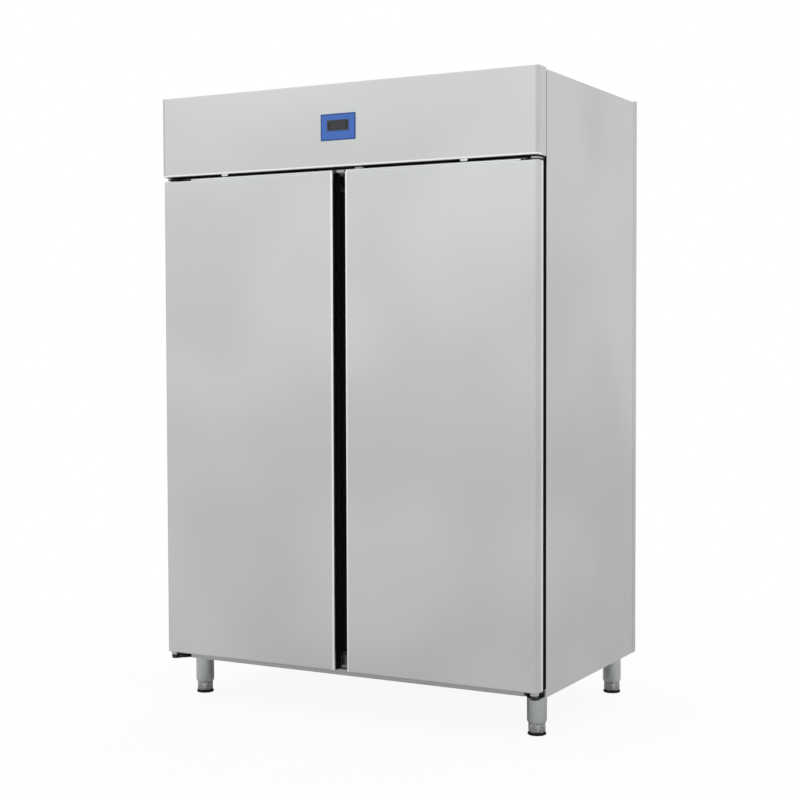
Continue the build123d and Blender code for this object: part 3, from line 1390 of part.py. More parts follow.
def electrical_box():
    """Electrical box on the deck: body with a stepped lid."""
    half = ELECTRIC_WIDTH / 2
    front = FACE_Y + ELECTRIC_SETBACK
    rear = front + ELECTRIC_DEPTH
    lid_z = DECK_Z + ELECTRIC_HEIGHT - ELECTRIC_LID
    left = ELECTRIC_CENTRE_X - half
    right = ELECTRIC_CENTRE_X + half
    lap = ELECTRIC_LID_LAP
    body = block(left + lap, right - lap, front + lap, rear - lap, DECK_Z, lid_z)
    lid = block(left, right, front, rear, lid_z, DECK_Z + ELECTRIC_HEIGHT)
    lid = chamfer(lid.edges().group_by(Axis.Z)[-1], FASCIA_CORNER)
    return body + lid


def freezer_nodes():
    """Every node of the freezer by name."""
    nodes = {}
    side = right_side_panel()
    nodes["right_side_panel"] = [side]
    nodes["left_side_panel"] = [mirrored(side)]
    nodes["back_panel"] = [back_panel()]
    nodes["rear_grille"] = [rear_grille()]
    nodes["base_panel"] = [base_panel()]
    nodes["deck_panel"] = [deck_panel()]
    nodes["cabinet_insulation"] = cabinet_insulation()
    nodes["inner_liner"] = [inner_liner()]
    nodes["thermal_break"] = thermal_break()
    nodes["mullion_post"] = [mullion_post()]
    nodes["mullion_cover"] = [mullion_cover()]
    door_pieces = {
        "skin": [door_skin()],
        "foam": [door_foam()],
        "liner": [door_liner()],
        "gasket": [door_gasket()],
        "grip": [door_grip()],
        "bushes": door_bushes(),
    }
    for piece, solids in door_pieces.items():
        nodes["right_door_" + piece] = solids
        nodes["left_door_" + piece] = [mirrored(solid) for solid in solids]
    nodes["hinge_brackets"] = hinge_brackets()
    nodes["header_panel"] = [header_panel()]
    nodes["header_hinges"] = header_hinges()
    nodes["controller_fascia"] = [controller_fascia()]
    nodes["controller_case"] = [controller_case()]
    nodes["display_window"] = [display_window()]
    places = leg_positions()
    nodes["leg_tubes"] = [leg_tube(x, y) for x, y in places.values()]
    for name, (x, y) in places.items():
        nodes[name + "_foot"] = [levelling_foot(x, y)]
        nodes[name + "_pad"] = [foot_pad(x, y)]
    nodes["shelf_uprights"] = shelf_uprights()
    nodes["shelf_runners"] = shelf_runners()
    nodes["wire_shelves"] = wire_shelves()
    nodes["evaporator_cover"] = [evaporator_cover()]
    nodes["evaporator_coil"] = [evaporator_coil()]
    nodes["evaporator_fan_motors"] = evaporator_fan_motors()
    nodes["evaporator_fan_guards"] = evaporator_fan_guards()
    nodes["left_evaporator_fan"] = [cooler_fan(-1)]
    nodes["right_evaporator_fan"] = [cooler_fan(1)]
    nodes["unit_tray"] = [unit_tray()]
    nodes["condenser_coil"] = [condenser_coil()]
    nodes["condenser_shroud"] = [condenser_shroud()]
    nodes["condenser_fan"] = [condenser_fan()]
    nodes["condenser_fan_motor"] = [condenser_fan_motor()]
    nodes["compressor"] = [compressor()]
    nodes["compressor_mounts"] = compressor_mounts()
    nodes["filter_drier"] = [filter_drier()]
    nodes["refrigerant_tubes"] = refrigerant_tubes()
    nodes["electrical_box"] = [electrical_box()]
    nodes["cable_gland"] = [cable_gland()]
    return nodes


os.makedirs("parts", exist_ok=True)
for node_name, node_solids in freezer_nodes().items():
    bodies = [body for shape in node_solids for body in shape.solids()]
    export_step(Compound(label=node_name, children=bodies), "parts/" + node_name + ".step")
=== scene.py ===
"""Dressed model of a two-door upright freezer, in metres, Z up, with its front towards -Y."""

import json
import logging
import math
from dataclasses import dataclass
from enum import Enum

import bmesh
import bpy
import numpy as np
from mathutils import Matrix, Vector


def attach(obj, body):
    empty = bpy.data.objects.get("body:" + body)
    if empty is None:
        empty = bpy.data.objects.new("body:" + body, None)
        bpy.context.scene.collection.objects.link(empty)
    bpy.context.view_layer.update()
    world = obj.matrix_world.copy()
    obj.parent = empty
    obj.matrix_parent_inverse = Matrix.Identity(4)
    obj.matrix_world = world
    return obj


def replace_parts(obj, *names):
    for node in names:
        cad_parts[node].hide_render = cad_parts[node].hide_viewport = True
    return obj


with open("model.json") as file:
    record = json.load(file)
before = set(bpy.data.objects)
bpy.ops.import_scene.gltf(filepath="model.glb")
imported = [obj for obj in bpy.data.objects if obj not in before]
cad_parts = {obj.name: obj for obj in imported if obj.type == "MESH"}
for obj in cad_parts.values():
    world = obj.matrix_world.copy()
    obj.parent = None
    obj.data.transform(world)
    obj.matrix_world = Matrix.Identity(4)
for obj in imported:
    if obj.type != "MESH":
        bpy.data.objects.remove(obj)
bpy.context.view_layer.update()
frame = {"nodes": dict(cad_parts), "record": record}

LOG = logging.getLogger("freezer")

# Least corner of a shrunken outline, as a share of the full one, and least cosine of a mitre.
LEAST_CORNER = 0.2
LEAST_MITRE = 0.3

# Sockets of the Mix node that take and give colours.
MIX_COLOURS = (6, 7)
MIX_RESULT = 2

Array = np.ndarray
Colour = tuple[float, float, float]
Point = tuple[float, float, float]
Pair = tuple[float, float]
Outline = tuple[Pair, ...]


class Axis(Enum):
    """World axes as unit vectors with two companions that complete a right-handed set."""

    X = ((0, 1, 0), (0, 0, 1), (1, 0, 0))
    Y = ((0, 0, 1), (1, 0, 0), (0, 1, 0))
    Z = ((1, 0, 0), (0, 1, 0), (0, 0, 1))

    def basis(self) -> Array:
        """Rows are the two cross directions and the axis itself."""
        return np.array(self.value, float)


class Grain(Enum):
    """Direction of the brush lines on a sheet, as noise scales along X, Y and Z."""

    UPRIGHT = (900.0, 900.0, 7.0)
    ACROSS = (7.0, 900.0, 900.0)
    TURNED = (60.0, 60.0, 1400.0)


class Fade(float, Enum):
    """Widths over which one zone of a finish passes into the next."""

    HAIR = 0.0006
    FINE = 0.0008
    SHARP = 0.0010
    CRISP = 0.0020
    EASED = 0.0030
    SOFT = 0.0040
    BROAD = 0.0100


def scaled(colour: Colour, factor: float) -> Colour:
    """Colour with each part times a factor, held at 1."""
    return tuple(min(part * factor, 1.0) for part in colour)


def turn(count: int) -> Array:
    """Angles of a full turn in equal steps, the last short of the first."""
    return np.linspace(0.0, 2.0 * np.pi, count, endpoint=False)


def rounded_rectangle(width: float, height: float, radius: float, steps: int = 6) -> Array:
    """Outline of a rectangle with quarter-circle corners.

    Each corner is its centre plus radius times (cos a, sin a) over a quarter turn.

    Args:
        width: Size along the first coordinate.
        height: Size along the second coordinate.
        radius: Corner radius.
        steps: Segments in each corner.

    Returns:
        Points counter-clockwise as an array of shape (4 * (steps + 1), 2).
    """
    quarter = np.linspace(0.0, np.pi / 2, steps + 1)
    angle = (quarter[None, :] + np.arange(4)[:, None] * np.pi / 2).ravel()
    signs = np.array([(1, 1), (-1, 1), (-1, -1), (1, -1)], float)
    centre = signs * (np.array([width, height]) / 2 - radius)
    return np.repeat(centre, steps + 1, axis=0) + radius * np.column_stack([np.cos(angle), np.sin(angle)])


def stacked(width: float, height: float, radius: float, levels: Array, centre: Point, axis: Axis) -> Array:
    """Rounded rectangles stacked along an axis.

    p(i, j) = centre + (x(j) U + y(j) V) for the outline less inset(i), + rise(i) W.

    Args:
        width: Size along the axis's first companion.
        height: Size along the second companion.
        radius: Corner radius of the full outline.
        levels: Array of shape (n, 2) of inset and rise.
        centre: Middle of the outline at a rise of zero.
        axis: Axis of stacking.

    Returns:
        Grid of shape (n, points, 3).
    """
    rings = []
    for inset, rise in np.asarray(levels, float):
        corner = max(radius - inset, LEAST_CORNER * radius)
        outline = rounded_rectangle(width - 2 * inset, height - 2 * inset, corner)
        rings.append(np.column_stack([outline, np.full(len(outline), rise)]) @ axis.basis())
    return np.stack(rings) + np.asarray(centre)


def revolved(profile: Array, centre: Point, axis: Axis, segments: int = 40) -> Array:
    """Profile of radii and heights turned about an axis.

    p(s, a) = centre + r(s) (cos a U + sin a V) + h(s) W, with U, V, W from the axis.

    Args:
        profile: Array of shape (n, 2) of radius and height.
        centre: Point on the axis from which heights count.
        axis: Axis of turning.
        segments: Points round the axis.

    Returns:
        Grid of shape (n, segments, 3).
    """
    first, second, along = axis.basis()
    profile = np.asarray(profile, float)
    angle = turn(segments)
    spokes = np.cos(angle)[:, None] * first + np.sin(angle)[:, None] * second
    return np.asarray(centre) + profile[:, 0, None, None] * spokes + profile[:, 1, None, None] * along


def carried(section: Array, path: Array, normal: Point, closed: bool = False) -> Array:
    """Section carried along a flat path, mitred at its corners.

    p(i, j) = path(i) + x(j) side(i) / cos(half the corner's turn) + y(j) normal,
    where side is normal cross tangent.

    Args:
        section: Array of shape (m, 2), offsets to the side and along the normal.
        path: Array of shape (n, 3) that lies in one plane.
        normal: Unit normal of that plane.
        closed: True if the path returns to its start.

    Returns:
        Grid of shape (n, m, 3).
    """
    normal = np.asarray(normal, float)
    steps = np.diff(np.vstack([path, path[:1]]) if closed else path, axis=0)
    steps /= np.linalg.norm(steps, axis=1)[:, None]
    before = np.vstack([steps[-1:] if closed else steps[:1], steps if not closed else steps[:-1]])
    after = steps if closed else np.vstack([steps, steps[-1:]])
    tangent = before + after
    tangent /= np.linalg.norm(tangent, axis=1)[:, None]
    stretch = 1.0 / np.maximum(np.sum(tangent * after, axis=1), LEAST_MITRE)
    side = np.cross(normal, tangent) * stretch[:, None]
    aside = path[:, None, :] + section[None, :, 0, None] * side[:, None, :]
    return aside + section[None, :, 1, None] * normal


def circle(radius: float, segments: int = 10) -> Array:
    """Round section: radius times (cos a, sin a)."""
    angle = turn(segments)
    return radius * np.column_stack([np.cos(angle), np.sin(angle)])


def eased_path(corners: Array, radius: float, steps: int = 8) -> Array:
    """Chain of straight runs whose corners are turned by circular arcs.

    Each arc starts and ends at radius times tan(half the turn) from its corner.

    Args:
        corners: Array of shape (n, 3).
        radius: Radius of the bends.
        steps: Segments in each bend.

    Returns:
        Array of shape (m, 3).
    """
    corners = np.asarray(corners, float)
    pieces = [corners[:1]]
    for before, corner, after in zip(corners, corners[1:], corners[2:]):
        back = (before - corner) / np.linalg.norm(before - corner)
        ahead = (after - corner) / np.linalg.norm(after - corner)
        half = math.acos(float(np.clip(back @ ahead, -1.0, 1.0))) / 2
        inward = (back + ahead) / np.linalg.norm(back + ahead)
        centre = corner + inward * radius / math.sin(half)
        start = corner + back * radius / math.tan(half) - centre
        swing = np.linspace(0.0, np.pi - 2 * half, steps + 1)[:, None]
        pieces.append(centre + np.cos(swing) * start - np.sin(swing) * radius * back)
    pieces.append(corners[-1:])
    return np.vstack(pieces)


class Mesher:
    """Collects grids of points and makes one mesh object of them."""

    def __init__(self, name: str) -> None:
        """Starts an empty piece of that name."""
        self.name = name
        self.points: list[Array] = []
        self.faces: list[list[int]] = []
        self.count = 0

    def add(self, points: Array) -> Array:
        """Adds points of shape (..., 3) and returns their indices in that shape."""
        flat = np.asarray(points, float).reshape(-1, 3)
        index = np.arange(len(flat)).reshape(np.shape(points)[:-1]) + self.count
        self.points.append(flat)
        self.count += len(flat)
        return index

    def grid(
        self,
        points: Array,
        loop_rows: bool = False,
        loop: bool = True,
        caps: bool = False,
        keep: Array | None = None,
    ) -> "Mesher":
        """Adds a grid of four-sided faces.

        Args:
            points: Array of shape (rows, columns, 3).
            loop_rows: True if the last row joins the first.
            loop: True if the last column joins the first.
            caps: True if the first and last rows are closed by flat faces.
            keep: Mask of shape (rows - 1, columns or columns - 1) that leaves out faces.

        Returns:
            This piece.
        """
        index = self.add(points)
        wide = np.hstack([index, index[:, :1]]) if loop else index
        full = np.vstack([wide, wide[:1]]) if loop_rows else wide
        quads = np.stack([full[:-1, :-1], full[:-1, 1:], full[1:, 1:], full[1:, :-1]], axis=-1)
        chosen = quads.reshape(-1, 4) if keep is None else quads[keep]
        self.faces.extend(chosen.tolist())
        if caps:
            self.faces.append(index[0][::-1].tolist())
            self.faces.append(index[-1].tolist())
        return self

    def plates(self, low: Array, high: Array) -> "Mesher":
        """Adds flat plates between opposite corners, all at once.

        Args:
            low: Array of shape (n, 3).
            high: Array of shape (n, 3).

        Returns:
            This piece.
        """
        square = np.array([(0, 0), (1, 0), (1, 1), (0, 1)])
        pick = np.vstack([np.column_stack([square, np.full(4, level)]) for level in (0, 1)])
        corners = np.where(pick[None, :, :] == 1, np.asarray(high)[:, None, :], np.asarray(low)[:, None, :])
        index = self.add(corners)
        walls = [(0, 1, 5, 4), (1, 2, 6, 5), (2, 3, 7, 6), (3, 0, 4, 7)]
        sides = np.array([(3, 2, 1, 0), (4, 5, 6, 7), *walls])
        self.faces.extend(index[:, sides].reshape(-1, 4).tolist())
        return self

    def build(
        self, body: str, finish: "Finish", smooth: float | None = 35.0, closed: bool = True
    ) -> bpy.types.Object:
        """Makes the object, sets its faces outwards, dresses it and puts it on its body.

        Args:
            body: CAD body that the piece rides on.
            finish: Finish of the piece.
            smooth: Angle in degrees under which edges are shaded smooth, or None for flat.
            closed: True if the faces enclose the piece, so that they can be turned outwards.

        Returns:
            The new object.
        """
        mesh = bpy.data.meshes.new(self.name)
        mesh.from_pydata(np.vstack(self.points), [], self.faces)
        if closed:
            work = bmesh.new()
            work.from_mesh(mesh)
            bmesh.ops.recalc_face_normals(work, faces=work.faces)
            work.to_mesh(mesh)
            work.free()
        if smooth is not None:
            mesh.shade_smooth()
            mesh.set_sharp_from_angle(angle=math.radians(smooth))
        piece = bpy.data.objects.new(self.name, mesh)
        bpy.context.scene.collection.objects.link(piece)
        mesh.materials.append(finish.material())
        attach(piece, body)
        LOG.info("%s: %d faces on %s", self.name, len(mesh.polygons), body)
        return piece


def thicken(piece: bpy.types.Object, thickness: float, offset: float = -1.0) -> None:
    """Gives a sheet its thickness, inwards for an offset of -1."""
    wall = piece.modifiers.new("sheet", "SOLIDIFY")
    wall.thickness = thickness
    wall.offset = offset


class Signal:
    """Output of a shader node, with arithmetic that adds Math nodes."""

    def __init__(self, tree: "ShaderTree", socket: bpy.types.NodeSocket) -> None:
        """Wraps a socket of a tree."""
        self.tree = tree
        self.socket = socket

    def __add__(self, other: "Signal | float") -> "Signal":
        """Sum."""
        return self.tree.math("ADD", self, other)

    __radd__ = __add__

    def __sub__(self, other: "Signal | float") -> "Signal":
        """Difference."""
        return self.tree.math("SUBTRACT", self, other)

    def __rsub__(self, other: float) -> "Signal":
        """Difference from a number."""
        return self.tree.math("SUBTRACT", other, self)

    def __mul__(self, other: "Signal | float") -> "Signal":
        """Product."""
        return self.tree.math("MULTIPLY", self, other)

    __rmul__ = __mul__

    def __abs__(self) -> "Signal":
        """Size without its sign."""
        return self.tree.math("ABSOLUTE", self, 0.0)

    def __or__(self, other: "Signal") -> "Signal":
        """Larger of two values."""
        return self.tree.math("MAXIMUM", self, other)

    def above(self, edge: float, width: float) -> "Signal":
        """Soft step from 0 to 1 as the value passes an edge over a width."""
        inputs = {"Value": self, "From Min": edge - width / 2, "From Max": edge + width / 2}
        return self.tree.node("ShaderNodeMapRange", {"interpolation_type": "SMOOTHSTEP"}, inputs)

    def below(self, edge: float, width: float) -> "Signal":
        """Soft step from 1 to 0 as the value passes an edge over a width."""
        return 1.0 - self.above(edge, width)


class ShaderTree:
    """Node tree of a material or a world."""

    def __init__(self, owner: bpy.types.Material | bpy.types.World) -> None:
        """Empties the tree of its owner."""
        owner.use_nodes = True
        self.tree = owner.node_tree
        self.tree.nodes.clear()

    def node(
        self, kind: str, settings: dict | None = None, inputs: dict | None = None, output: int | str = 0
    ) -> Signal:
        """Adds any node.

        Args:
            kind: Node type.
            settings: Properties, set before the sockets.
            inputs: Values or signals by socket name or index.
            output: Socket to return.

        Returns:
            Signal of that output.
        """
        made = self.tree.nodes.new(kind)
        for key, value in (settings or {}).items():
            setattr(made, key, value)
        for key, value in (inputs or {}).items():
            if isinstance(value, Signal):
                self.tree.links.new(value.socket, made.inputs[key])
            else:
                made.inputs[key].default_value = value
        return Signal(self, made.outputs[output])

    def math(self, operation: str, first: Signal | float, second: Signal | float) -> Signal:
        """Math node on two values."""
        return self.node("ShaderNodeMath", {"operation": operation}, {0: first, 1: second})

    def mix(self, factor: Signal | float, first: Signal | Colour, second: Signal | Colour) -> Signal:
        """Colour between two colours.

        Args:
            factor: Share of the second colour.
            first: Colour or signal at 0.
            second: Colour or signal at 1.

        Returns:
            Mixed colour.
        """
        ends = [end if isinstance(end, Signal) else (*end, 1.0) for end in (first, second)]
        inputs = {0: factor, **dict(zip(MIX_COLOURS, ends))}
        return self.node("ShaderNodeMix", {"data_type": "RGBA"}, inputs, output=MIX_RESULT)

    def place(self) -> Signal:
        """Object coordinates, which are the freezer's own."""
        return self.node("ShaderNodeTexCoord", output="Object")

    def axis(self, letter: str) -> Signal:
        """One of the object coordinates as a value."""
        return self.node("ShaderNodeSeparateXYZ", None, {0: self.place()}, output=letter)

    def stretched(self, scale: Point) -> Signal:
        """Object coordinates scaled apart along the three axes."""
        return self.node("ShaderNodeMapping", None, {"Vector": self.place(), "Scale": scale})

    def noise(self, scale: float, detail: float = 3.0, where: Signal | None = None) -> Signal:
        """Fractal noise from 0 to 1 on object coordinates.

        Args:
            scale: Features per metre.
            detail: Octaves.
            where: Other coordinates.

        Returns:
            Noise value.
        """
        inputs = {"Vector": where or self.place(), "Scale": scale, "Detail": detail}
        return self.node("ShaderNodeTexNoise", None, inputs)

    def bump(self, strength: float, depth: float, height: Signal) -> Signal:
        """Normal tilted by the slope of a height."""
        inputs = {"Strength": strength, "Distance": depth, "Height": height}
        return self.node("ShaderNodeBump", None, inputs)

    def path(self, ray: str) -> Signal:
        """Light path value, such as Is Camera Ray."""
        return self.node("ShaderNodeLightPath", output=ray)

    def finish(self, shader: Signal, kind: str = "ShaderNodeOutputMaterial") -> None:
        """Ends the tree with a shader."""
        output = self.tree.nodes.new(kind)
        self.tree.links.new(shader.socket, output.inputs["Surface"])


@dataclass(frozen=True)
class Finish:
    """Plain finish of one material slot; other finishes add their own texture.

    Colours are linear.
    """

    slot: str
    colour: Colour
    roughness: float = 0.5
    metallic: float = 0.0
    mottle: float = 0.06
    mottle_scale: float = 9.0
    gloss_spread: float = 0.12
    bump: float = 0.02
    bump_scale: float = 900.0
    bump_depth: float = 0.001
    specular: float = 0.5

    def shade(self, tree: ShaderTree) -> dict:
        """Sockets of the shader that vary over the surface.

        Args:
            tree: Tree to add nodes to.

        Returns:
            Values and signals by socket name.
        """
        cloud = tree.noise(self.mottle_scale)
        dark = scaled(self.colour, 1 - self.mottle)
        light = scaled(self.colour, 1 + self.mottle)
        grain = tree.noise(self.bump_scale, detail=2.0)
        return {
            "Base Color": tree.mix(cloud, dark, light),
            "Roughness": self.roughness + self.gloss_spread * (cloud - 0.5),
            "Normal": tree.bump(self.bump, self.bump_depth, grain),
        }

    def material(self) -> bpy.types.Material:
        """Blender material of the finish, made once."""
        name = self.slot + "_finish"
        known = bpy.data.materials.get(name)
        if known is None:
            known = bpy.data.materials.new(name)
            tree = ShaderTree(known)
            inputs = {"Metallic": self.metallic, **self.shade(tree), **self.fixed()}
            tree.finish(tree.node("ShaderNodeBsdfPrincipled", None, inputs))
        return known

    def fixed(self) -> dict:
        """Sockets with one value all over."""
        return {"Specular IOR Level": self.specular}


@dataclass(frozen=True)
class BrushedSheet(Finish):
    """Satin metal sheet: fine brush lines, hazy gloss, handling marks and scuffs near the floor."""

    metallic: float = 1.0
    grain: Grain = Grain.UPRIGHT
    lines: float = 0.035
    line_contrast: float = 8.0
    line_gloss: float = 0.10
    line_bump: Pair = (0.03, 0.0004)
    haze_scale: float = 2.2
    haze_tone: float = 0.25
    haze_gloss: float = 0.06
    scuff: float = 0.04
    scuff_scale: float = 14.0
    scuff_edge: Pair = (0.62, 0.2)
    scuff_height: Pair = (0.28, 0.35)
    scuff_share: float = 0.6

    def shade(self, tree: ShaderTree) -> dict:
        """Brush lines darken the colour and lift the roughness; scuffs gather below knee height.

        Args:
            tree: Tree to add nodes to.

        Returns:
            Values and signals by socket name.
        """
        brush = tree.noise(1.0, detail=4.0, where=tree.stretched(self.grain.value))
        fleck = brush - 0.5
        haze = tree.noise(self.haze_scale, detail=2.0) - 0.5
        smear = tree.noise(self.scuff_scale, detail=5.0).above(*self.scuff_edge)
        marks = tree.axis("Z").below(*self.scuff_height) * smear
        tone = 0.5 + fleck * self.lines * self.line_contrast + haze * self.haze_tone
        sheet = tree.mix(tone, scaled(self.colour, 1 - self.lines), scaled(self.colour, 1 + self.lines))
        worn = scaled(self.colour, 1 - self.scuff)
        gloss = self.line_gloss * fleck + self.haze_gloss * haze + self.scuff * marks
        return {
            "Base Color": tree.mix(marks * self.scuff_share, sheet, worn),
            "Roughness": self.roughness + gloss,
            "Normal": tree.bump(*self.line_bump, brush),
        }


@dataclass(frozen=True)
class FoldedSheet(BrushedSheet):
    """Outer sheet: cloudy polish, partly painted reflection; painted highlights on hems; painted shade on
    bends and sill lip.
    """

    # Brighter colour of the painted highlight on the hems, and its share.
    edge_highlight: Colour = (0.93, 0.94, 0.93)
    edge_highlight_share: float = 0.85
    front_y: float = -0.405
    door_top: float = 1.795
    free_edge: float = 0.0305
    header_fold: Pair = (1.799, 1.8080)
    outer_edge: float = 0.6900
    outer_y: Pair = (-0.3970, -0.3830)
    sill_lip: float = 0.1575
    sill_y: float = -0.380
    bend_edge: float = 0.6910
    bend_y: float = -0.4275
    return_y: float = 0.4008
    # Darker copy of the colour: painted shade on the bends and the header by these shares; the rear returns
    # take it too.
    shade_tone: float = 0.66
    door_bend_shade: float = 0.25
    header_bend_shade: float = 0.35
    header_shade_share: float = 0.12
    return_share: float = 0.20
    # Scale, depth, edge and shift of darker cloud patches; they are random tone and partly painted reflection.
    clouds: float = 1.9
    cloud_depth: float = 0.28
    cloud_edge: Pair = (0.5, 0.40)
    cloud_shift: Point = (36.4, 8.1, 24.8)

    def hems(self, tree: ShaderTree) -> Signal:
        """Share of painted highlight along the hems: the doors' free and outer edges and the header's lower
        fold.

        Args:
            tree: Tree to add nodes to.

        Returns:
            1 on the hems' painted highlight, else 0.
        """
        across, along, up = abs(tree.axis("X")), tree.axis("Y"), tree.axis("Z")
        front = along.below(self.front_y, Fade.BROAD)
        doors = up.below(self.door_top, Fade.SOFT)
        free = across.below(self.free_edge, Fade.CRISP) * doors * front
        low, high = self.header_fold
        fold = up.above(low, Fade.CRISP) * up.below(high, Fade.CRISP) * front
        near, far = self.outer_y
        rear = along.above(near, Fade.CRISP) * along.below(far, Fade.SHARP)
        outer = across.above(self.outer_edge, Fade.SOFT) * rear * doors
        return free | fold | outer

    def painted_shade_and_returns(self, tree: ShaderTree) -> Signal:
        """Share of darkening: painted shade on the outer bends, the header and the sill lip, and darker rear
        returns.

        Args:
            tree: Tree to add nodes to.

        Returns:
            Share from 0 to 1.
        """
        across, along, up = abs(tree.axis("X")), tree.axis("Y"), tree.axis("Z")
        above_doors = up.above(self.door_top, Fade.SOFT)
        side = across.above(self.bend_edge, Fade.EASED)
        corner = side * along.below(self.bend_y, Fade.EASED)
        # Painted shade on the outer bends, deeper on the header.
        bend = corner * (self.door_bend_shade + self.header_bend_shade * above_doors)
        # Painted shade over the front of the header.
        header = above_doors * along.below(self.front_y, Fade.BROAD) * self.header_shade_share
        # Rear returns darker.
        returns = side * along.above(self.return_y, Fade.SHARP) * self.return_share
        # Painted shade on the sill lip under the doors.
        sill_shade = up.below(self.sill_lip, Fade.CRISP) * along.below(self.sill_y, Fade.SOFT)
        return sill_shade | bend | header | returns

    def shade(self, tree: ShaderTree) -> dict:
        """Broad noise clouds the polish, partly as painted reflection, then the painted shade and the painted
        highlights on the hems are laid over it.

        Args:
            tree: Tree to add nodes to.

        Returns:
            Values and signals by socket name.
        """
        plain = super().shade(tree)
        shaded_colour = scaled(self.colour, self.shade_tone)
        inputs = {0: tree.place(), 1: self.cloud_shift}
        spot = tree.node("ShaderNodeVectorMath", {"operation": "ADD"}, inputs)
        # Darker cloud patches, random but also standing in for varying reflection: partly painted reflection.
        cloud = tree.noise(self.clouds, detail=1.0, where=spot).above(*self.cloud_edge)
        sheen = tree.mix(cloud * self.cloud_depth, plain["Base Color"], shaded_colour)
        # Painted shade laid over the sheet, in a darker copy of its colour.
        with_shade = tree.mix(self.painted_shade_and_returns(tree), sheen, shaded_colour)
        # Painted highlights on the hems.
        return {**plain, "Base Color": tree.mix(self.hems(tree) * self.edge_highlight_share, with_shade, self.edge_highlight)}


@dataclass(frozen=True)
class HingeWithPaintedShade(BrushedSheet):
    """Hinge steel with black painted shade on parts of the front brackets, where they sit in shadow."""

    # Black that stands in for the brackets' shadow, as painted shade, and the roughness it adds.
    paint: Colour = (0.010, 0.010, 0.011)
    shade_gloss: float = 0.2
    front_y: float = -0.362
    plate_z: float = 1.7925
    left_x: float = -0.60
    left_top: float = 1.7995
    bare_side: float = 0.6910
    bare_z: Pair = (0.1500, 0.1700)

    def bared(self, tree: ShaderTree) -> Signal:
        """Upper half of the lower brackets, except at their outer ends.

        Args:
            tree: Tree to add nodes to.

        Returns:
            1 where the black painted shade is left off, else 0.
        """
        across, up = abs(tree.axis("X")), tree.axis("Z")
        low, high = self.bare_z
        level = up.above(low, Fade.SHARP) * up.below(high, Fade.SOFT)
        return level * across.below(self.bare_side, Fade.SHARP)

    def shade(self, tree: ShaderTree) -> dict:
        """Black painted shade covers the front below the upper plates, and the left plate, but for what is
        bared.

        Args:
            tree: Tree to add nodes to.

        Returns:
            Values and signals by socket name.
        """
        bare = super().shade(tree)
        across, up = tree.axis("X"), tree.axis("Z")
        front = tree.axis("Y").below(self.front_y, Fade.SOFT)
        low = up.below(self.plate_z, Fade.FINE)
        left = across.below(self.left_x, Fade.SOFT) * up.below(self.left_top, Fade.SHARP)
        # Painted shade: black where the brackets sit in shadow, left off where bared.
        cover = front * (low | left) * (1.0 - self.bared(tree))
        return {
            "Base Color": tree.mix(cover, bare["Base Color"], self.paint),
            "Roughness": bare["Roughness"] + self.shade_gloss * cover,
            "Metallic": 1.0 - cover,
            "Normal": bare["Normal"],
        }


@dataclass(frozen=True)
class SpangledZinc(Finish):
    """Galvanised sheet with the flat crystals of the zinc, and the deck's front rail faced with steel."""

    metallic: float = 1.0
    gloss_spread: float = 0.16
    bump: float = 0.04
    bump_depth: float = 0.0005
    crystal: float = 60.0
    crystal_share: float = 0.8
    wobble: float = 48.0
    wobble_share: float = 0.2
    tones: Pair = (0.84, 1.14)
    rail: Colour = (0.56, 0.575, 0.565)
    rail_rear: float = -0.344
    rail_top: float = 1.8005

    def shade(self, tree: ShaderTree) -> dict:
        """Cells of a Voronoi pattern each take their own tone and gloss, except on the front rail.

        Args:
            tree: Tree to add nodes to.

        Returns:
            Values and signals by socket name.
        """
        wobble = tree.noise(self.wobble, detail=2.0)
        inputs = {"Vector": tree.place(), "Scale": self.crystal}
        cells = tree.node("ShaderNodeTexVoronoi", {"feature": "F1"}, inputs, output="Color")
        cell = tree.node("ShaderNodeSeparateColor", None, {0: cells})
        tone = cell * self.crystal_share + wobble * self.wobble_share
        dark, light = (scaled(self.colour, factor) for factor in self.tones)
        front = tree.axis("Y").below(self.rail_rear, Fade.SOFT)
        faced = front * tree.axis("Z").below(self.rail_top, Fade.FINE)
        return {
            "Base Color": tree.mix(faced, tree.mix(tone, dark, light), self.rail),
            "Roughness": self.roughness + self.gloss_spread * (tone - 0.5),
            "Normal": tree.bump(self.bump, self.bump_depth, wobble),
        }


@dataclass(frozen=True)
class DrawnTube(Finish):
    """Bare copper with brown tarnish."""

    metallic: float = 1.0
    tarnish: Colour = (0.22, 0.09, 0.05)
    stain_scale: float = 26.0
    stain_edge: Pair = (0.55, 0.3)
    stain_share: float = 0.55
    stain_gloss: float = 0.25

    def shade(self, tree: ShaderTree) -> dict:
        """Tarnish spreads where noise is high and dulls the gloss.

        Args:
            tree: Tree to add nodes to.

        Returns:
            Values and signals by socket name.
        """
        stain = tree.noise(self.stain_scale, detail=5.0).above(*self.stain_edge)
        return {
            "Base Color": tree.mix(stain * self.stain_share, self.colour, self.tarnish),
            "Roughness": self.roughness + self.stain_gloss * stain,
        }


@dataclass(frozen=True)
class PrintedPanel(Finish):
    """Coloured membrane with a darker printed border."""

    gloss_spread: float = 0.06
    mottle_scale: float = 30.0
    mottle: float = 0.06
    centre: Point = (0.0, 0.0, 1.930)
    half: Pair = (0.065, 0.043)
    border: float = 0.005
    border_tone: float = 0.50
    border_share: float = 0.8

    def shade(self, tree: ShaderTree) -> dict:
        """The border is where either distance from the middle passes the half size less its width.

        Args:
            tree: Tree to add nodes to.

        Returns:
            Values and signals by socket name.
        """
        across = abs(tree.axis("X") - self.centre[0])
        up = abs(tree.axis("Z") - self.centre[2])
        edge_x = across.above(self.half[0] - self.border, Fade.HAIR)
        edge_z = up.above(self.half[1] - self.border, Fade.HAIR)
        cloud = tree.noise(self.mottle_scale)
        field = tree.mix(cloud, self.colour, scaled(self.colour, 1 + self.mottle))
        deep = scaled(self.colour, self.border_tone)
        return {
            "Base Color": tree.mix((edge_x | edge_z) * self.border_share, field, deep),
            "Roughness": self.roughness + self.gloss_spread * (cloud - 0.5),
        }


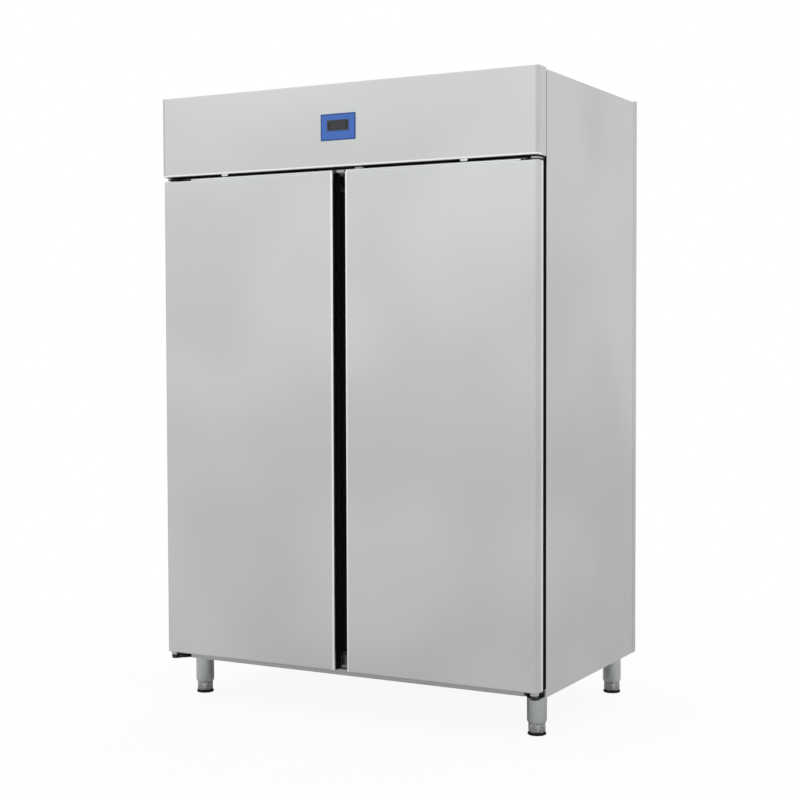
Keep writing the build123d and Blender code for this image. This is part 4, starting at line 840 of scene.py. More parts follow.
@dataclass(frozen=True)
class SmokedWindow(Finish):
    """Dark glossy window over an unlit display."""

    gloss_spread: float = 0.08
    dust_scale: float = 60.0
    centre: Point = (0.0, 0.0, 1.935)
    display_half: Pair = (0.029, 0.0105)
    display_gain: float = 3.0
    display_share: float = 0.8

    def shade(self, tree: ShaderTree) -> dict:
        """A paler field stands for the unlit display behind the smoke.

        Args:
            tree: Tree to add nodes to.

        Returns:
            Values and signals by socket name.
        """
        across = abs(tree.axis("X") - self.centre[0])
        up = abs(tree.axis("Z") - self.centre[2])
        half_x, half_z = self.display_half
        inside = across.below(half_x, Fade.CRISP) * up.below(half_z, Fade.CRISP)
        pale = scaled(self.colour, self.display_gain)
        dust = tree.noise(self.dust_scale, detail=4.0)
        return {
            "Base Color": tree.mix(inside * self.display_share, self.colour, pale),
            "Roughness": self.roughness + self.gloss_spread * (dust - 0.5),
        }


FINISHES: dict[str, Finish] = {
    finish.slot: finish
    for finish in (
        FoldedSheet("stainless_panel", (0.644, 0.662, 0.650), 0.38),
        BrushedSheet("liner_steel", (0.55, 0.555, 0.55), 0.34),
        # Hinge steel with black painted shade on its front brackets.
        HingeWithPaintedShade("hinge_steel", (0.50, 0.505, 0.50), 0.33, grain=Grain.ACROSS),
        BrushedSheet("leg_steel", (0.56, 0.585, 0.57), 0.20, grain=Grain.UPRIGHT),
        BrushedSheet("foot_steel", (0.38, 0.39, 0.38), 0.32, grain=Grain.TURNED),
        BrushedSheet("runner_steel", (0.55, 0.555, 0.55), 0.33, grain=Grain.UPRIGHT),
        SpangledZinc("galvanised_sheet", (0.46, 0.48, 0.49), 0.42),
        Finish(
            "insulation_foam",
            (0.78, 0.66, 0.36),
            0.9,
            mottle=0.12,
            mottle_scale=70.0,
            bump=0.3,
            bump_scale=300.0,
        ),
        Finish("thermal_break", (0.045, 0.045, 0.046), 0.55),
        Finish("mullion_black", (0.006, 0.006, 0.0065), 0.7, bump=0.08, specular=0.2),
        Finish("grip_black", (0.006, 0.006, 0.0065), 0.7, bump=0.08, specular=0.2),
        Finish("gasket_rubber", (0.010, 0.010, 0.0105), 0.75, bump=0.05, specular=0.2),
        Finish("bush_nylon", (0.55, 0.55, 0.52), 0.5),
        PrintedPanel("fascia_blue", (0.066, 0.170, 0.56), 0.5, specular=0.3),
        Finish("controller_black", (0.03, 0.031, 0.034), 0.45, bump=0.05),
        SmokedWindow("display_smoke", (0.018, 0.018, 0.020), 0.25, specular=0.3),
        Finish("pad_black", (0.008, 0.008, 0.0085), 0.65, bump=0.1, specular=0.25),
        Finish("shelf_coating", (0.60, 0.61, 0.60), 0.42, mottle_scale=40.0),
        Finish("cooler_white", (0.74, 0.75, 0.74), 0.4, bump=0.06),
        Finish("fan_black", (0.028, 0.028, 0.03), 0.5, bump=0.05),
        Finish("motor_grey", (0.11, 0.11, 0.12), 0.45, bump=0.08),
        Finish("coil_aluminium", (0.66, 0.67, 0.68), 0.4, metallic=1.0, mottle=0.1, mottle_scale=24.0),
        Finish("compressor_black", (0.014, 0.014, 0.015), 0.38, bump=0.12, bump_scale=500.0),
        Finish("mount_rubber", (0.03, 0.03, 0.03), 0.75, bump=0.1),
        DrawnTube("copper_tube", (0.66, 0.30, 0.17), 0.3),
        Finish("box_grey", (0.33, 0.34, 0.35), 0.5, bump=0.1),
        Finish("gland_black", (0.028, 0.028, 0.029), 0.55, bump=0.06),
    )
}


@dataclass
class Screws:
    """Pan-head screws with a cross recess, many in one piece."""

    name: str
    body: str
    axis: Axis
    places: list[Point]
    slot: str = "hinge_steel"
    radius: float = 0.0045
    height: float = 0.0022
    facing: float = 1.0
    segments: int = 24
    arms: int = 4
    head: Outline = (
        (1.0, 0.0),
        (1.0, 0.35),
        (0.94, 0.62),
        (0.80, 0.86),
        (0.62, 0.97),
        (0.50, 1.0),
        (0.46, 0.70),
        (0.40, 0.45),
    )
    recess_rows: int = 3
    recess_depth: float = 0.62

    def build(self) -> None:
        """Domed heads with a cross recess.

        p(s, a) = r(s) (1 - w(s) (1 - cos 4a) / 2) (cos a U + sin a V) + h(s) W; w is zero on the
        dome and positive in the recess, which gives it four lobes.
        """
        mesher = Mesher(self.name)
        share, rise = np.array(self.head).T
        lobes = np.where(np.arange(len(share)) < len(share) - self.recess_rows, 0.0, self.recess_depth)
        angle = turn(self.segments)
        radius = share[:, None] * (1 - lobes[:, None] * (1 - np.cos(self.arms * angle)) / 2) * self.radius
        height = np.broadcast_to(rise[:, None] * self.height * self.facing, radius.shape)
        local = np.dstack([radius * np.cos(angle), radius * np.sin(angle), height])
        for place in self.places:
            mesher.grid(local @ self.axis.basis() + np.asarray(place), caps=True)
        mesher.build(self.body, FINISHES[self.slot])


@dataclass
class LevellingLegs:
    """Steel legs under the cabinet, with screw feet on their own bodies."""

    half_x: float = 0.638
    front_y: float = -0.2965
    back_y: float = 0.365
    tube_radius: float = 0.0315
    foot_line: float = 0.037
    flange_z: float = 0.133
    base_z: float = 0.137
    flange_size: float = 0.100
    flange_corner: float = 0.010
    flange_ease: Pair = (0.0012, 0.0010)
    bolt_inset: float = 0.013
    bolt: Pair = (0.0060, 0.0035)
    bore: float = 0.0083
    tube_foot: Outline = ((0.0042, 0.0), (0.0036, 0.0006), (0.0007, 0.0076), (0.0, 0.0096))
    tube_head: Outline = ((0.0, 0.0040), (-0.0007, 0.0022), (-0.0026, 0.0))
    stem_radius: float = 0.0080
    stem_root: float = 0.0010
    stem_top: float = 0.1126
    stem_segments: int = 24
    thread_pitch: float = 0.0020
    thread_depth: float = 0.0007
    thread_steps: int = 6
    foot_radius: float = 0.030
    foot_turned: float = 0.0285
    foot_outline: Outline = (
        (0.0045, 0.0080),
        (0.0030, 0.0086),
        (0.0, 0.0115),
        (0.0, 0.0330),
        (0.0022, 0.0359),
        (0.0040, 0.0366),
    )
    foot_segments: int = 72
    pad_radius: float = 0.0295
    pad_outline: Outline = (
        (0.0020, 0.0),
        (0.0004, 0.0007),
        (0.0, 0.0020),
        (0.0, 0.0052),
        (0.0006, 0.0068),
        (0.0022, 0.0080),
    )
    turned_segments: int = 56

    def places(self) -> dict[str, tuple[float, float]]:
        """Centres of the legs by name."""
        return {
            "front_left": (-self.half_x, self.front_y),
            "front_right": (self.half_x, self.front_y),
            "back_left": (-self.half_x, self.back_y),
            "back_right": (self.half_x, self.back_y),
        }

    def tubes(self) -> None:
        """Tubes turned from a closed profile with a tapered lower end, under square flanges.

        The profile's steps are insets from the tube's radius, with rises from its foot or drops
        from its flange.
        """
        low, high = self.foot_line, self.flange_z
        foot = (self.tube_radius, low) + np.array(self.tube_foot) * (-1, 1)
        head = (self.tube_radius, high) - np.array(self.tube_head)
        profile = np.vstack([(self.bore, low), foot, head, (self.bore, high)])
        mesher = Mesher("leg_tubes_turned")
        inset, rise = self.flange_ease
        edge = np.array([(inset, high), (0.0, high + rise), (0.0, self.base_z)])
        size = self.flange_size
        for x, y in self.places().values():
            mesher.grid(revolved(profile, (x, y, 0.0), Axis.Z, self.turned_segments), loop_rows=True)
            mesher.grid(stacked(size, size, self.flange_corner, edge, (x, y, 0.0), Axis.Z), caps=True)
        piece = mesher.build("cabinet", FINISHES["leg_steel"])
        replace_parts(piece, "leg_tubes")
        reach = self.flange_size / 2 - self.bolt_inset
        bolts = [
            (x + across * reach, y + along * reach, self.flange_z)
            for x, y in self.places().values()
            for across in (-1, 1)
            for along in (-1, 1)
        ]
        Screws("leg_flange_bolts", "cabinet", Axis.Z, bolts, "foot_steel", *self.bolt, -1.0).build()

    def foot(self, name: str, x: float, y: float) -> None:
        """Hexagon foot with turned corners, a threaded stem and a round glide.

        The hexagon is r(a) = apothem / cos(a mod 60 - 30 degrees), held to the turned radius.
        The thread is r(z, a) = R - depth (1 + cos(2 pi z / pitch - a)) / 2.

        Args:
            name: Leg name.
            x: Centre across.
            y: Centre along.
        """
        body = name + "_leveller"
        angle = turn(self.foot_segments)
        apothem = self.foot_radius * math.cos(math.pi / 6)
        flats = apothem / np.cos(np.mod(angle, np.pi / 3) - np.pi / 6)
        hexagon = np.minimum(flats, self.foot_turned)
        inset, levels = np.array(self.foot_outline).T
        radii = np.minimum(hexagon[None, :], self.foot_turned - inset[:, None])
        spokes = np.column_stack([np.cos(angle), np.sin(angle)])
        body_grid = np.dstack([radii[:, :, None] * spokes, np.repeat(levels[:, None], len(angle), axis=1)])
        mesher = Mesher(name + "_foot_turned")
        mesher.grid(body_grid + (x, y, 0.0), caps=True)
        rows = np.arange(levels[-1] - self.stem_root, self.stem_top, self.thread_pitch / self.thread_steps)
        sweep = turn(self.stem_segments)
        wave = (1 + np.cos(2 * np.pi * rows[:, None] / self.thread_pitch - sweep[None, :])) / 2
        radius = self.stem_radius - self.thread_depth * wave
        height = np.broadcast_to(rows[:, None], radius.shape)
        stem = np.dstack([radius * np.cos(sweep) + x, radius * np.sin(sweep) + y, height])
        mesher.grid(stem, caps=True)
        piece = mesher.build(body, FINISHES["foot_steel"])
        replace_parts(piece, name + "_foot")
        profile = (self.pad_radius, 0.0) + np.array(self.pad_outline) * (-1, 1)
        pad = Mesher(name + "_pad_moulded")
        pad.grid(revolved(profile, (x, y, 0.0), Axis.Z, self.turned_segments), caps=True)
        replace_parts(pad.build(body, FINISHES["pad_black"]), name + "_pad")

    def build(self) -> None:
        """Tubes, then the foot and glide of each leg."""
        self.tubes()
        for name, (x, y) in self.places().items():
            self.foot(name, x, y)


@dataclass
class DoorInsides:
    """Magnetic gasket, pressed liner and top bead of one door."""

    side: str
    sign: float
    free_x: float = 0.0235
    outer_x: float = 0.6960
    bottom_z: float = 0.1605
    top_z: float = 1.7870
    rim_y: float = -0.3837
    face_y: float = -0.3665
    gasket_inset: float = 0.0280
    gasket_gap: float = 0.0004
    gasket_half: float = 0.0100
    rim_inset: float = 0.0020
    field_inset: float = 0.0620
    field_depth: float = 0.0120
    field_corner: float = 0.0240
    field_slope: float = 0.0056
    field_smooth: float = 40.0
    rim_lines: tuple[float, ...] = (0.0, 0.02, 0.04)
    slope_lines: tuple[float, float, float] = (-0.0040, 0.0360, 0.0016)
    inner_lines: tuple[float, ...] = (0.12, 0.2)
    sheet: float = 0.0008
    bellows: Outline = (
        (1.0, 0.0),
        (1.0, 0.10),
        (0.62, 0.20),
        (0.46, 0.27),
        (0.58, 0.35),
        (0.62, 0.43),
        (0.48, 0.51),
        (0.44, 0.58),
        (0.56, 0.64),
        (0.96, 0.70),
        (1.0, 0.90),
        (0.95, 0.97),
        (0.80, 1.0),
    )
    fin: Outline = (
        (0.0080, 0.0),
        (0.0105, 0.0),
        (0.0238, 0.0096),
        (0.0236, 0.0104),
        (0.0226, 0.0105),
        (0.0100, 0.0022),
        (0.0080, 0.0022),
    )
    cap_outer: float = 0.640
    cap_front: float = -0.4290
    cap_back: float = -0.4020
    cap_rise: float = 0.0064
    cap_inset: float = 0.0030
    cap_power: float = 0.5
    cap_points: int = 13

    def gasket(self) -> None:
        """Bellows section and an outer fin carried round the door with mitred corners.

        Half the bellows is its width against depth: clip base, two folds and a magnet head.
        """
        depth = self.face_y - self.gasket_gap - self.rim_y
        right = np.array(self.bellows) * (self.gasket_half, depth)
        section = np.vstack([right, right[::-1] * (-1, 1)])
        low = (self.free_x + self.gasket_inset, self.bottom_z + self.gasket_inset)
        high = (self.outer_x - self.gasket_inset, self.top_z - self.gasket_inset)
        corners = [(low[0], low[1]), (high[0], low[1]), (high[0], high[1]), (low[0], high[1])]
        path = np.array([(self.sign * x, self.rim_y, z) for x, z in corners])
        mesher = Mesher(self.side + "_gasket_bellows")
        for outline in (section, np.array(self.fin) * (self.sign, 1.0)):
            mesher.grid(carried(outline, path, (0.0, 1.0, 0.0), closed=True), loop_rows=True)
        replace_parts(mesher.build(self.side + "_door", FINISHES["gasket_rubber"]), self.side + "_door_gasket")

    def liner(self) -> None:
        """Pressed sheet whose field rises behind the door.

        With d the distance inside the field's rounded outline, the sheet stands at
        y = rim + depth * smoothstep(d / slope).
        """
        low = np.array([self.free_x + self.rim_inset, self.bottom_z + self.rim_inset])
        high = np.array([self.outer_x - self.rim_inset, self.top_z - self.rim_inset])
        centre = (low + high) / 2
        half = (high - low) / 2
        inset = self.field_inset - self.rim_inset
        start, stop, step = self.slope_lines
        slope = np.arange(inset + start, inset + stop, step)
        near = np.concatenate([self.rim_lines, slope, self.inner_lines])
        rise_x = np.concatenate([near - half[0], (half[0] - near)[::-1]])
        rise_z = np.concatenate([near - half[1], (half[1] - near)[::-1]])
        x, z = np.meshgrid(rise_x, rise_z)
        reach_x = np.abs(x) - (half[0] - inset - self.field_corner)
        reach_z = np.abs(z) - (half[1] - inset - self.field_corner)
        outside = np.hypot(np.maximum(reach_x, 0.0), np.maximum(reach_z, 0.0))
        within = self.field_corner - outside - np.minimum(np.maximum(reach_x, reach_z), 0.0)
        share = np.clip(within / self.field_slope, 0.0, 1.0)
        y = self.rim_y + self.field_depth * share * share * (3 - 2 * share)
        grid = np.dstack([self.sign * (x + centre[0]), y, z + centre[1]])
        mesher = Mesher(self.side + "_liner_pressed")
        mesher.grid(grid if self.sign < 0 else grid[:, ::-1], loop=False)
        piece = mesher.build(self.side + "_door", FINISHES["liner_steel"], self.field_smooth, closed=False)
        thicken(piece, self.sheet)
        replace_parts(piece, self.side + "_door_liner")

    def top_bead(self) -> None:
        """Rolled bead along the top of the door, short of the hinge: a flat arch carried along X."""
        angle = np.linspace(0.0, np.pi, self.cap_points)
        middle = (self.cap_front + self.cap_back) / 2
        half = (self.cap_back - self.cap_front) / 2
        swing = np.cos(angle)
        across = half * np.sign(swing) * np.abs(swing) ** self.cap_power
        section = np.column_stack([across, np.sin(angle) ** self.cap_power * self.cap_rise])
        span = (self.free_x + self.cap_inset, self.cap_outer)
        ends = np.array([(self.sign * x, middle, self.top_z) for x in span])
        mesher = Mesher(self.side + "_door_top_bead")
        mesher.grid(carried(section, ends, (0.0, 0.0, 1.0)), caps=True)
        mesher.build(self.side + "_door", FINISHES["stainless_panel"])

    def build(self) -> None:
        """Gasket, liner and top bead."""
        self.gasket()
        self.liner()
        self.top_bead()


@dataclass
class FrontTrims:
    """Seals and small mouldings about the doorways and the header."""

    half_width: float = 0.694
    deck_z: float = 1.802
    face_y: float = -0.3665
    strip_front: float = -0.4235
    strip_back: float = -0.3715
    strip_height: float = 0.0015
    strip_corner: float = 0.002
    strip_ease: Pair = (0.0006, 0.0005)
    covers: tuple[tuple[float, float, float, float], ...] = (
        (0.0, 0.030, 1.739, 1.777),
        # Beside the left hinge: black put where there is shade, as painted shade.
        (-0.6055, 0.0300, 1.772, 1.7995),
    )
    cover_corner: float = 0.003
    cover_outline: Outline = ((0.0, 0.0), (0.0, -0.0010), (0.0006, -0.0015))
    switch_x: float = -0.0024
    switch_z: float = 1.7892
    switch_size: Pair = (0.0086, 0.028)
    switch_corner: float = 0.002
    switch_reach: float = 0.050
    switch_nose: Outline = ((0.0, 0.0012), (0.0005, 0.0004), (0.0013, 0.0))
    stop: Point = (0.0695, -0.4155, 1.787)
    stop_size: Pair = (0.038, 0.024)
    stop_corner: float = 0.009
    stop_outline: Outline = ((0.0, 0.0), (0.0, 0.0030), (0.0040, 0.0090), (0.0070, 0.0118), (0.0085, 0.0125))
    shade_strip_corner: float = 0.001
    shade_strip_ease: float = 0.0004
    # Black strips that stand in for the shade in the gaps beside the doors and behind the header: painted
    # shade.
    shade_strip_runs: tuple[tuple[float, float, float, float, float], ...] = (
        (0.6830, 0.6992, 0.1635, 1.7695, 0.0012),
        (0.6935, 0.6997, 1.7700, 2.0600, 0.0030),
    )
    seam_x: float = 0.6990
    seam_y: float = 0.4004
    seam_z: Pair = (0.1375, 2.0645)
    seam_radius: float = 0.0006
    seam_segments: int = 8
    deck_seam: Point = (0.6925, 0.4306, 1.8022)
    deck_seam_radius: float = 0.0032

    def header_seal(self) -> None:
        """Black foam strip under the lower flange of the header."""
        width = self.strip_back - self.strip_front
        middle = (0.0, (self.strip_front + self.strip_back) / 2, self.deck_z - self.strip_height)
        inset, rise = self.strip_ease
        levels = np.array([(inset, 0.0), (0.0, rise), (0.0, self.strip_height)])
        mesher = Mesher("header_seal_strip")
        size = (2 * self.half_width, width, self.strip_corner)
        mesher.grid(stacked(*size, levels, middle, Axis.Z), caps=True)
        mesher.build("header", FINISHES["gasket_rubber"])

    def rail_covers(self) -> None:
        """Black mouldings that lap over the top rail, at the mullion and beside the left hinge; the one beside
        the left hinge is black put where there is shade, a painted shade.
        """
        mesher = Mesher("top_rail_covers")
        for x, half, bottom, top in self.covers:
            middle = (x, self.face_y, (top + bottom) / 2)
            size = (top - bottom, 2 * half, self.cover_corner)
            mesher.grid(stacked(*size, self.cover_outline, middle, Axis.Y), caps=True)
        mesher.build("cabinet", FINISHES["mullion_black"])

    def jamb_shade_strips(self) -> None:
        """Black strips along the outer edges of the jambs, beside the doors and behind the header, put in the
        gaps as painted shade.
        """
        mesher = Mesher("jamb_edge_shade_strips")
        for inner, outer, bottom, top, thickness in self.shade_strip_runs:
            ease = self.shade_strip_ease
            levels = np.array([(0.0, 0.0), (0.0, ease - thickness), (ease, -thickness)])
            size = (top - bottom, outer - inner, self.shade_strip_corner)
            for sign in (-1, 1):
                middle = (sign * (inner + outer) / 2, self.face_y, (bottom + top) / 2)
                mesher.grid(stacked(*size, levels, middle, Axis.Y), caps=True)
        mesher.build("cabinet", FINISHES["gasket_rubber"])

    def door_stop(self) -> None:
        """Low stop on top of the right door, a rounded block that narrows upwards."""
        size = (*self.stop_size, self.stop_corner)
        mesher = Mesher("right_door_top_stop")
        mesher.grid(stacked(*size, self.stop_outline, self.stop, Axis.Z), caps=True)
        mesher.build("right_door", FINISHES["bush_nylon"])

    def door_switch(self) -> None:
        """Switch housing that reaches out from the top rail between the doors, with eased edges."""
        middle = (self.switch_x, self.face_y, self.switch_z)
        nose = np.array(self.switch_nose) - (0.0, self.switch_reach)
        levels = np.vstack([(0.0, 0.0), nose])
        size = (*self.switch_size, self.switch_corner)
        mesher = Mesher("door_switch_housing")
        mesher.grid(stacked(*size, levels, middle, Axis.Y), caps=True)
        mesher.build("cabinet", FINISHES["bush_nylon"])

    def seams(self) -> None:
        """Sealant beads down the back sheet's returns and along the deck's rear edge."""
        mesher = Mesher("rear_seam_sealant")
        for sign in (-1, 1):
            ends = np.array([(sign * self.seam_x, self.seam_y, z) for z in self.seam_z])
            section = circle(self.seam_radius, self.seam_segments)
            mesher.grid(carried(section, ends, (0.0, 1.0, 0.0)), caps=True)
        half, along, up = self.deck_seam
        ends = np.array([(sign * half, along, up) for sign in (-1, 1)])
        section = circle(self.deck_seam_radius, self.seam_segments)
        mesher.grid(carried(section, ends, (0.0, 0.0, 1.0)), caps=True)
        mesher.build("cabinet", FINISHES["gasket_rubber"])

    def build(self) -> None:
        """Every trim."""
        self.header_seal()
        self.rail_covers()
        self.jamb_shade_strips()
        self.door_stop()
        self.door_switch()
        self.seams()


@dataclass
class Shelving:
    """Coated wire shelves, slotted uprights and centre posts."""

    bay_x: float = 0.311
    bay_y: float = 0.02425
    width: float = 0.530
    depth: float = 0.648
    levels: tuple[float, ...] = (0.417, 0.787, 1.157)
    thickness: float = 0.007
    frame_radius: float = 0.0035
    wire_radius: float = 0.0020
    wire_count: int = 23
    bar_radius: float = 0.0024
    bar_count: int = 4
    bar_reach: float = 0.34
    corner: float = 0.016
    frame_segments: int = 12
    wire_segments: int = 8
    upright_x: float = 0.607
    wall_x: float = 0.625
    upright_width: float = 0.025
    post_half: float = 0.015
    front_y: float = -0.3115
    rear_y: float = 0.335
    bottom_z: float = 0.272
    top_z: float = 1.502
    slot_pitch: float = 0.030
    slot_height: float = 0.016
    slot_width: float = 0.007
    sheet: float = 0.0015

    def shelf(self, mesher: Mesher, x: float, z: float) -> None:
        """Adds one shelf: a bent frame wire, cross bars under it and straight wires on top.

        Args:
            mesher: Piece to add to.
            x: Middle of the bay.
            z: Underside of the shelf.
        """
        inner = np.array([self.width, self.depth]) - 2 * self.frame_radius
        loop = rounded_rectangle(*inner, self.corner)
        level = z + self.thickness / 2
        path = np.column_stack([loop[:, 0] + x, loop[:, 1] + self.bay_y, np.full(len(loop), level)])
        frame_wire = circle(self.frame_radius, self.frame_segments)
        mesher.grid(carried(frame_wire, path, (0, 0, 1), closed=True), loop_rows=True)
        reach = self.width / 2 - self.frame_radius
        bar = circle(self.bar_radius, self.wire_segments)
        for y in np.linspace(-self.bar_reach, self.bar_reach, self.bar_count) * self.depth + self.bay_y:
            ends = np.array([(x - reach, y, z + self.bar_radius), (x + reach, y, z + self.bar_radius)])
            mesher.grid(carried(bar, ends, (0, 0, 1)), caps=True)
        run = self.depth / 2 - self.frame_radius
        top = z + self.thickness - self.wire_radius
        wire = circle(self.wire_radius, self.wire_segments)
        for offset in np.linspace(-reach, reach, self.wire_count + 2)[1:-1]:
            ends = np.array([(x + offset, self.bay_y - run, top), (x + offset, self.bay_y + run, top)])
            mesher.grid(carried(wire, ends, (0, 0, 1)), caps=True)

    def slotted(self, mesher: Mesher, section: Array, slot_columns: tuple[int, ...], loop: bool) -> None:
        """Adds a folded upright with a row of slots.

        Columns of the grid follow the section and rows the edges of the slots; faces of the
        slot columns are left out in every slot row.

        Args:
            mesher: Piece to add to.
            section: Array of shape (n, 2) in X and Y.
            slot_columns: Columns that hold slots.
            loop: True if the section is closed.
        """
        first = np.arange(self.bottom_z + self.slot_pitch, self.top_z - self.slot_pitch, self.slot_pitch)
        edges = np.column_stack([first, first + self.slot_height]).ravel()
        rows = np.concatenate([[self.bottom_z], edges, [self.top_z]])
        grid = np.concatenate(
            [
                np.repeat(section[None, :, :], len(rows), axis=0),
                np.repeat(rows[:, None, None], len(section), axis=1),
            ],
            axis=2,
        )
        keep = np.ones((len(rows) - 1, len(section) - (0 if loop else 1)), bool)
        for column in slot_columns:
            keep[1::2, column] = False
        mesher.grid(grid, loop=loop, keep=keep)

    def uprights(self) -> None:
        """Four wall channels and two middle posts as one sheet piece."""
        mesher = Mesher("shelf_uprights_slotted")
        for start in (self.front_y, self.rear_y):
            end = start + self.upright_width
            middle = (start + end) / 2
            near = middle - self.slot_width / 2
            far = middle + self.slot_width / 2
            for sign in (-1, 1):
                face = sign * self.upright_x
                wall = sign * self.wall_x
                chain = [(wall, start), (face, start), (face, near), (face, far), (face, end), (wall, end)]
                self.slotted(mesher, np.array(chain)[:: -int(sign)], (2,), False)
            half = self.post_half
            chain = [(half, start), (half, near), (half, far), (half, end)]
            chain += [(-half, end), (-half, far), (-half, near), (-half, start)]
            self.slotted(mesher, np.array(chain), (1, 5), True)
        piece = mesher.build("cabinet", FINISHES["runner_steel"], None, closed=False)
        thicken(piece, self.sheet)
        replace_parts(piece, "shelf_uprights")

    def build(self) -> None:
        """Shelves of both bays in one piece, then the uprights."""
        mesher = Mesher("wire_shelves_welded")
        for sign in (-1, 1):
            for level in self.levels:
                self.shelf(mesher, sign * self.bay_x, level)
        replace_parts(mesher.build("cabinet", FINISHES["shelf_coating"]), "wire_shelves")
        self.uprights()


@dataclass
class AxialFan:
    """Moulded fan about the Y axis."""

    node: str
    body: str
    centre: Point
    tip: float
    hub: float
    depth: float
    bore: float = 0.0041
    blades: int = 4
    spread: float = 56.0
    sheet: float = 0.0016
    cup_floor: float = 0.25
    cup: Outline = (
        (0.9, 1.0),
        (1.0, 0.94),
        (1.0, 0.10),
        (0.93, 0.02),
        (0.80, 0.0),
        (0.02, 0.0),
        (0.02, 0.25),
    )
    hub_segments: int = 36
    root: float = 0.92
    tip_round: float = 0.06
    waist: Pair = (0.86, 0.14)
    chord: float = 0.46
    chord_fall: float = 0.15
    camber: float = 0.0015
    blade_grid: tuple[int, int] = (9, 11)

    def build(self) -> None:
        """Hub turned from a cup profile and blades twisted along their length.

        A blade is p(s, t): radius from root to tip with s, angle t times half the spread, and an
        axial lift t times a chord that falls towards the tip, less a camber (1 - t^2).
        """
        mesher = Mesher(self.node + "_moulded")
        hub, depth = self.hub, self.depth
        bore = [(self.bore, depth * self.cup_floor), (self.bore, depth)]
        profile = np.vstack([bore, np.array(self.cup) * (hub, depth)])
        mesher.grid(revolved(profile, self.centre, Axis.Y, self.hub_segments), loop_rows=True)
        s = np.linspace(0.0, 1.0, self.blade_grid[0])[:, None]
        t = np.linspace(-1.0, 1.0, self.blade_grid[1])[None, :]
        root = hub * self.root
        radius = root + (self.tip - root) * s * (1 - self.tip_round * t**4)
        half = math.radians(self.spread / 2) * (self.waist[0] + self.waist[1] * np.sin(np.pi * s))
        rise = t * (depth * self.chord) * (1.0 - self.chord_fall * s)
        lift = np.broadcast_to(rise, radius.shape) - self.camber * (1 - t**2)
        for index in range(self.blades):
            angle = half * t + 2 * np.pi * index / self.blades
            front = np.dstack([radius * np.sin(angle), lift - self.sheet / 2, radius * np.cos(angle)])
            back = front + (0.0, self.sheet, 0.0)
            shell = np.concatenate([front, back[:, ::-1]], axis=1)
            mesher.grid(shell + np.asarray(self.centre) + (0.0, self.depth / 2, 0.0), caps=True)
        piece = mesher.build(self.body, FINISHES["fan_black"])
        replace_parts(piece, self.node)


@dataclass
class Fans:
    """The condenser's fan and the two fans of the evaporator."""

    condenser: Point = (-0.140, -0.1745, 1.903)
    condenser_tip: float = 0.087
    condenser_hub: float = 0.026
    condenser_depth: float = 0.036
    cooler: Point = (0.260, -0.1145, 1.6445)
    cooler_tip: float = 0.058
    cooler_hub: float = 0.017
    cooler_depth: float = 0.022

    def build(self) -> None:
        """Each fan on its own rotor."""
        size = (self.condenser_tip, self.condenser_hub, self.condenser_depth)
        AxialFan("condenser_fan", "condenser_rotor", self.condenser, *size).build()
        size = (self.cooler_tip, self.cooler_hub, self.cooler_depth)
        x, y, z = self.cooler
        for side, sign in (("left", -1), ("right", 1)):
            AxialFan(side + "_evaporator_fan", side + "_rotor", (sign * x, y, z), *size).build()


@dataclass
class CoolerGuards:
    """Domed wire guards in front of the evaporator fans."""

    offset_x: float = 0.260
    face_y: float = -0.1265
    centre_z: float = 1.6445
    radius: float = 0.0735
    wire: float = 0.0010
    dome: float = 0.006
    rings: int = 6
    first_ring: float = 0.2
    ring_points: int = 48
    spokes: int = 4
    spoke_lift: float = 2.6
    spoke_gain: float = 1.2
    spoke_points: int = 17
    wire_segments: int = 8

    def build(self) -> None:
        """Rings at y = face - wire - dome (1 - (r / R)^2), tied by spokes curved in the same way."""
        mesher = Mesher("evaporator_fan_guards_wire")
        angle = turn(self.ring_points)
        run = np.linspace(-1.0, 1.0, self.spoke_points)
        ring = circle(self.wire, self.wire_segments)
        spoke = circle(self.wire * self.spoke_gain, self.wire_segments)
        for sign in (-1, 1):
            x = sign * self.offset_x
            for radius in np.linspace(self.radius * self.first_ring, self.radius, self.rings):
                y = self.face_y - self.wire - self.dome * (1 - (radius / self.radius) ** 2)
                across, up = radius * np.cos(angle), radius * np.sin(angle)
                path = np.column_stack([x + across, np.full(self.ring_points, y), self.centre_z + up])
                mesher.grid(carried(ring, path, (0, 1, 0), closed=True), loop_rows=True)
            for heading in np.arange(self.spokes) * math.pi / self.spokes:
                y = self.face_y - self.spoke_lift * self.wire - self.dome * (1 - run**2)
                reach = run * self.radius
                across, up = reach * math.cos(heading), reach * math.sin(heading)
                path = np.column_stack([x + across, y, self.centre_z + up])
                normal = (-math.sin(heading), 0.0, math.cos(heading))
                mesher.grid(carried(spoke, path, normal), caps=True)
        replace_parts(mesher.build("cabinet", FINISHES["fan_black"]), "evaporator_fan_guards")


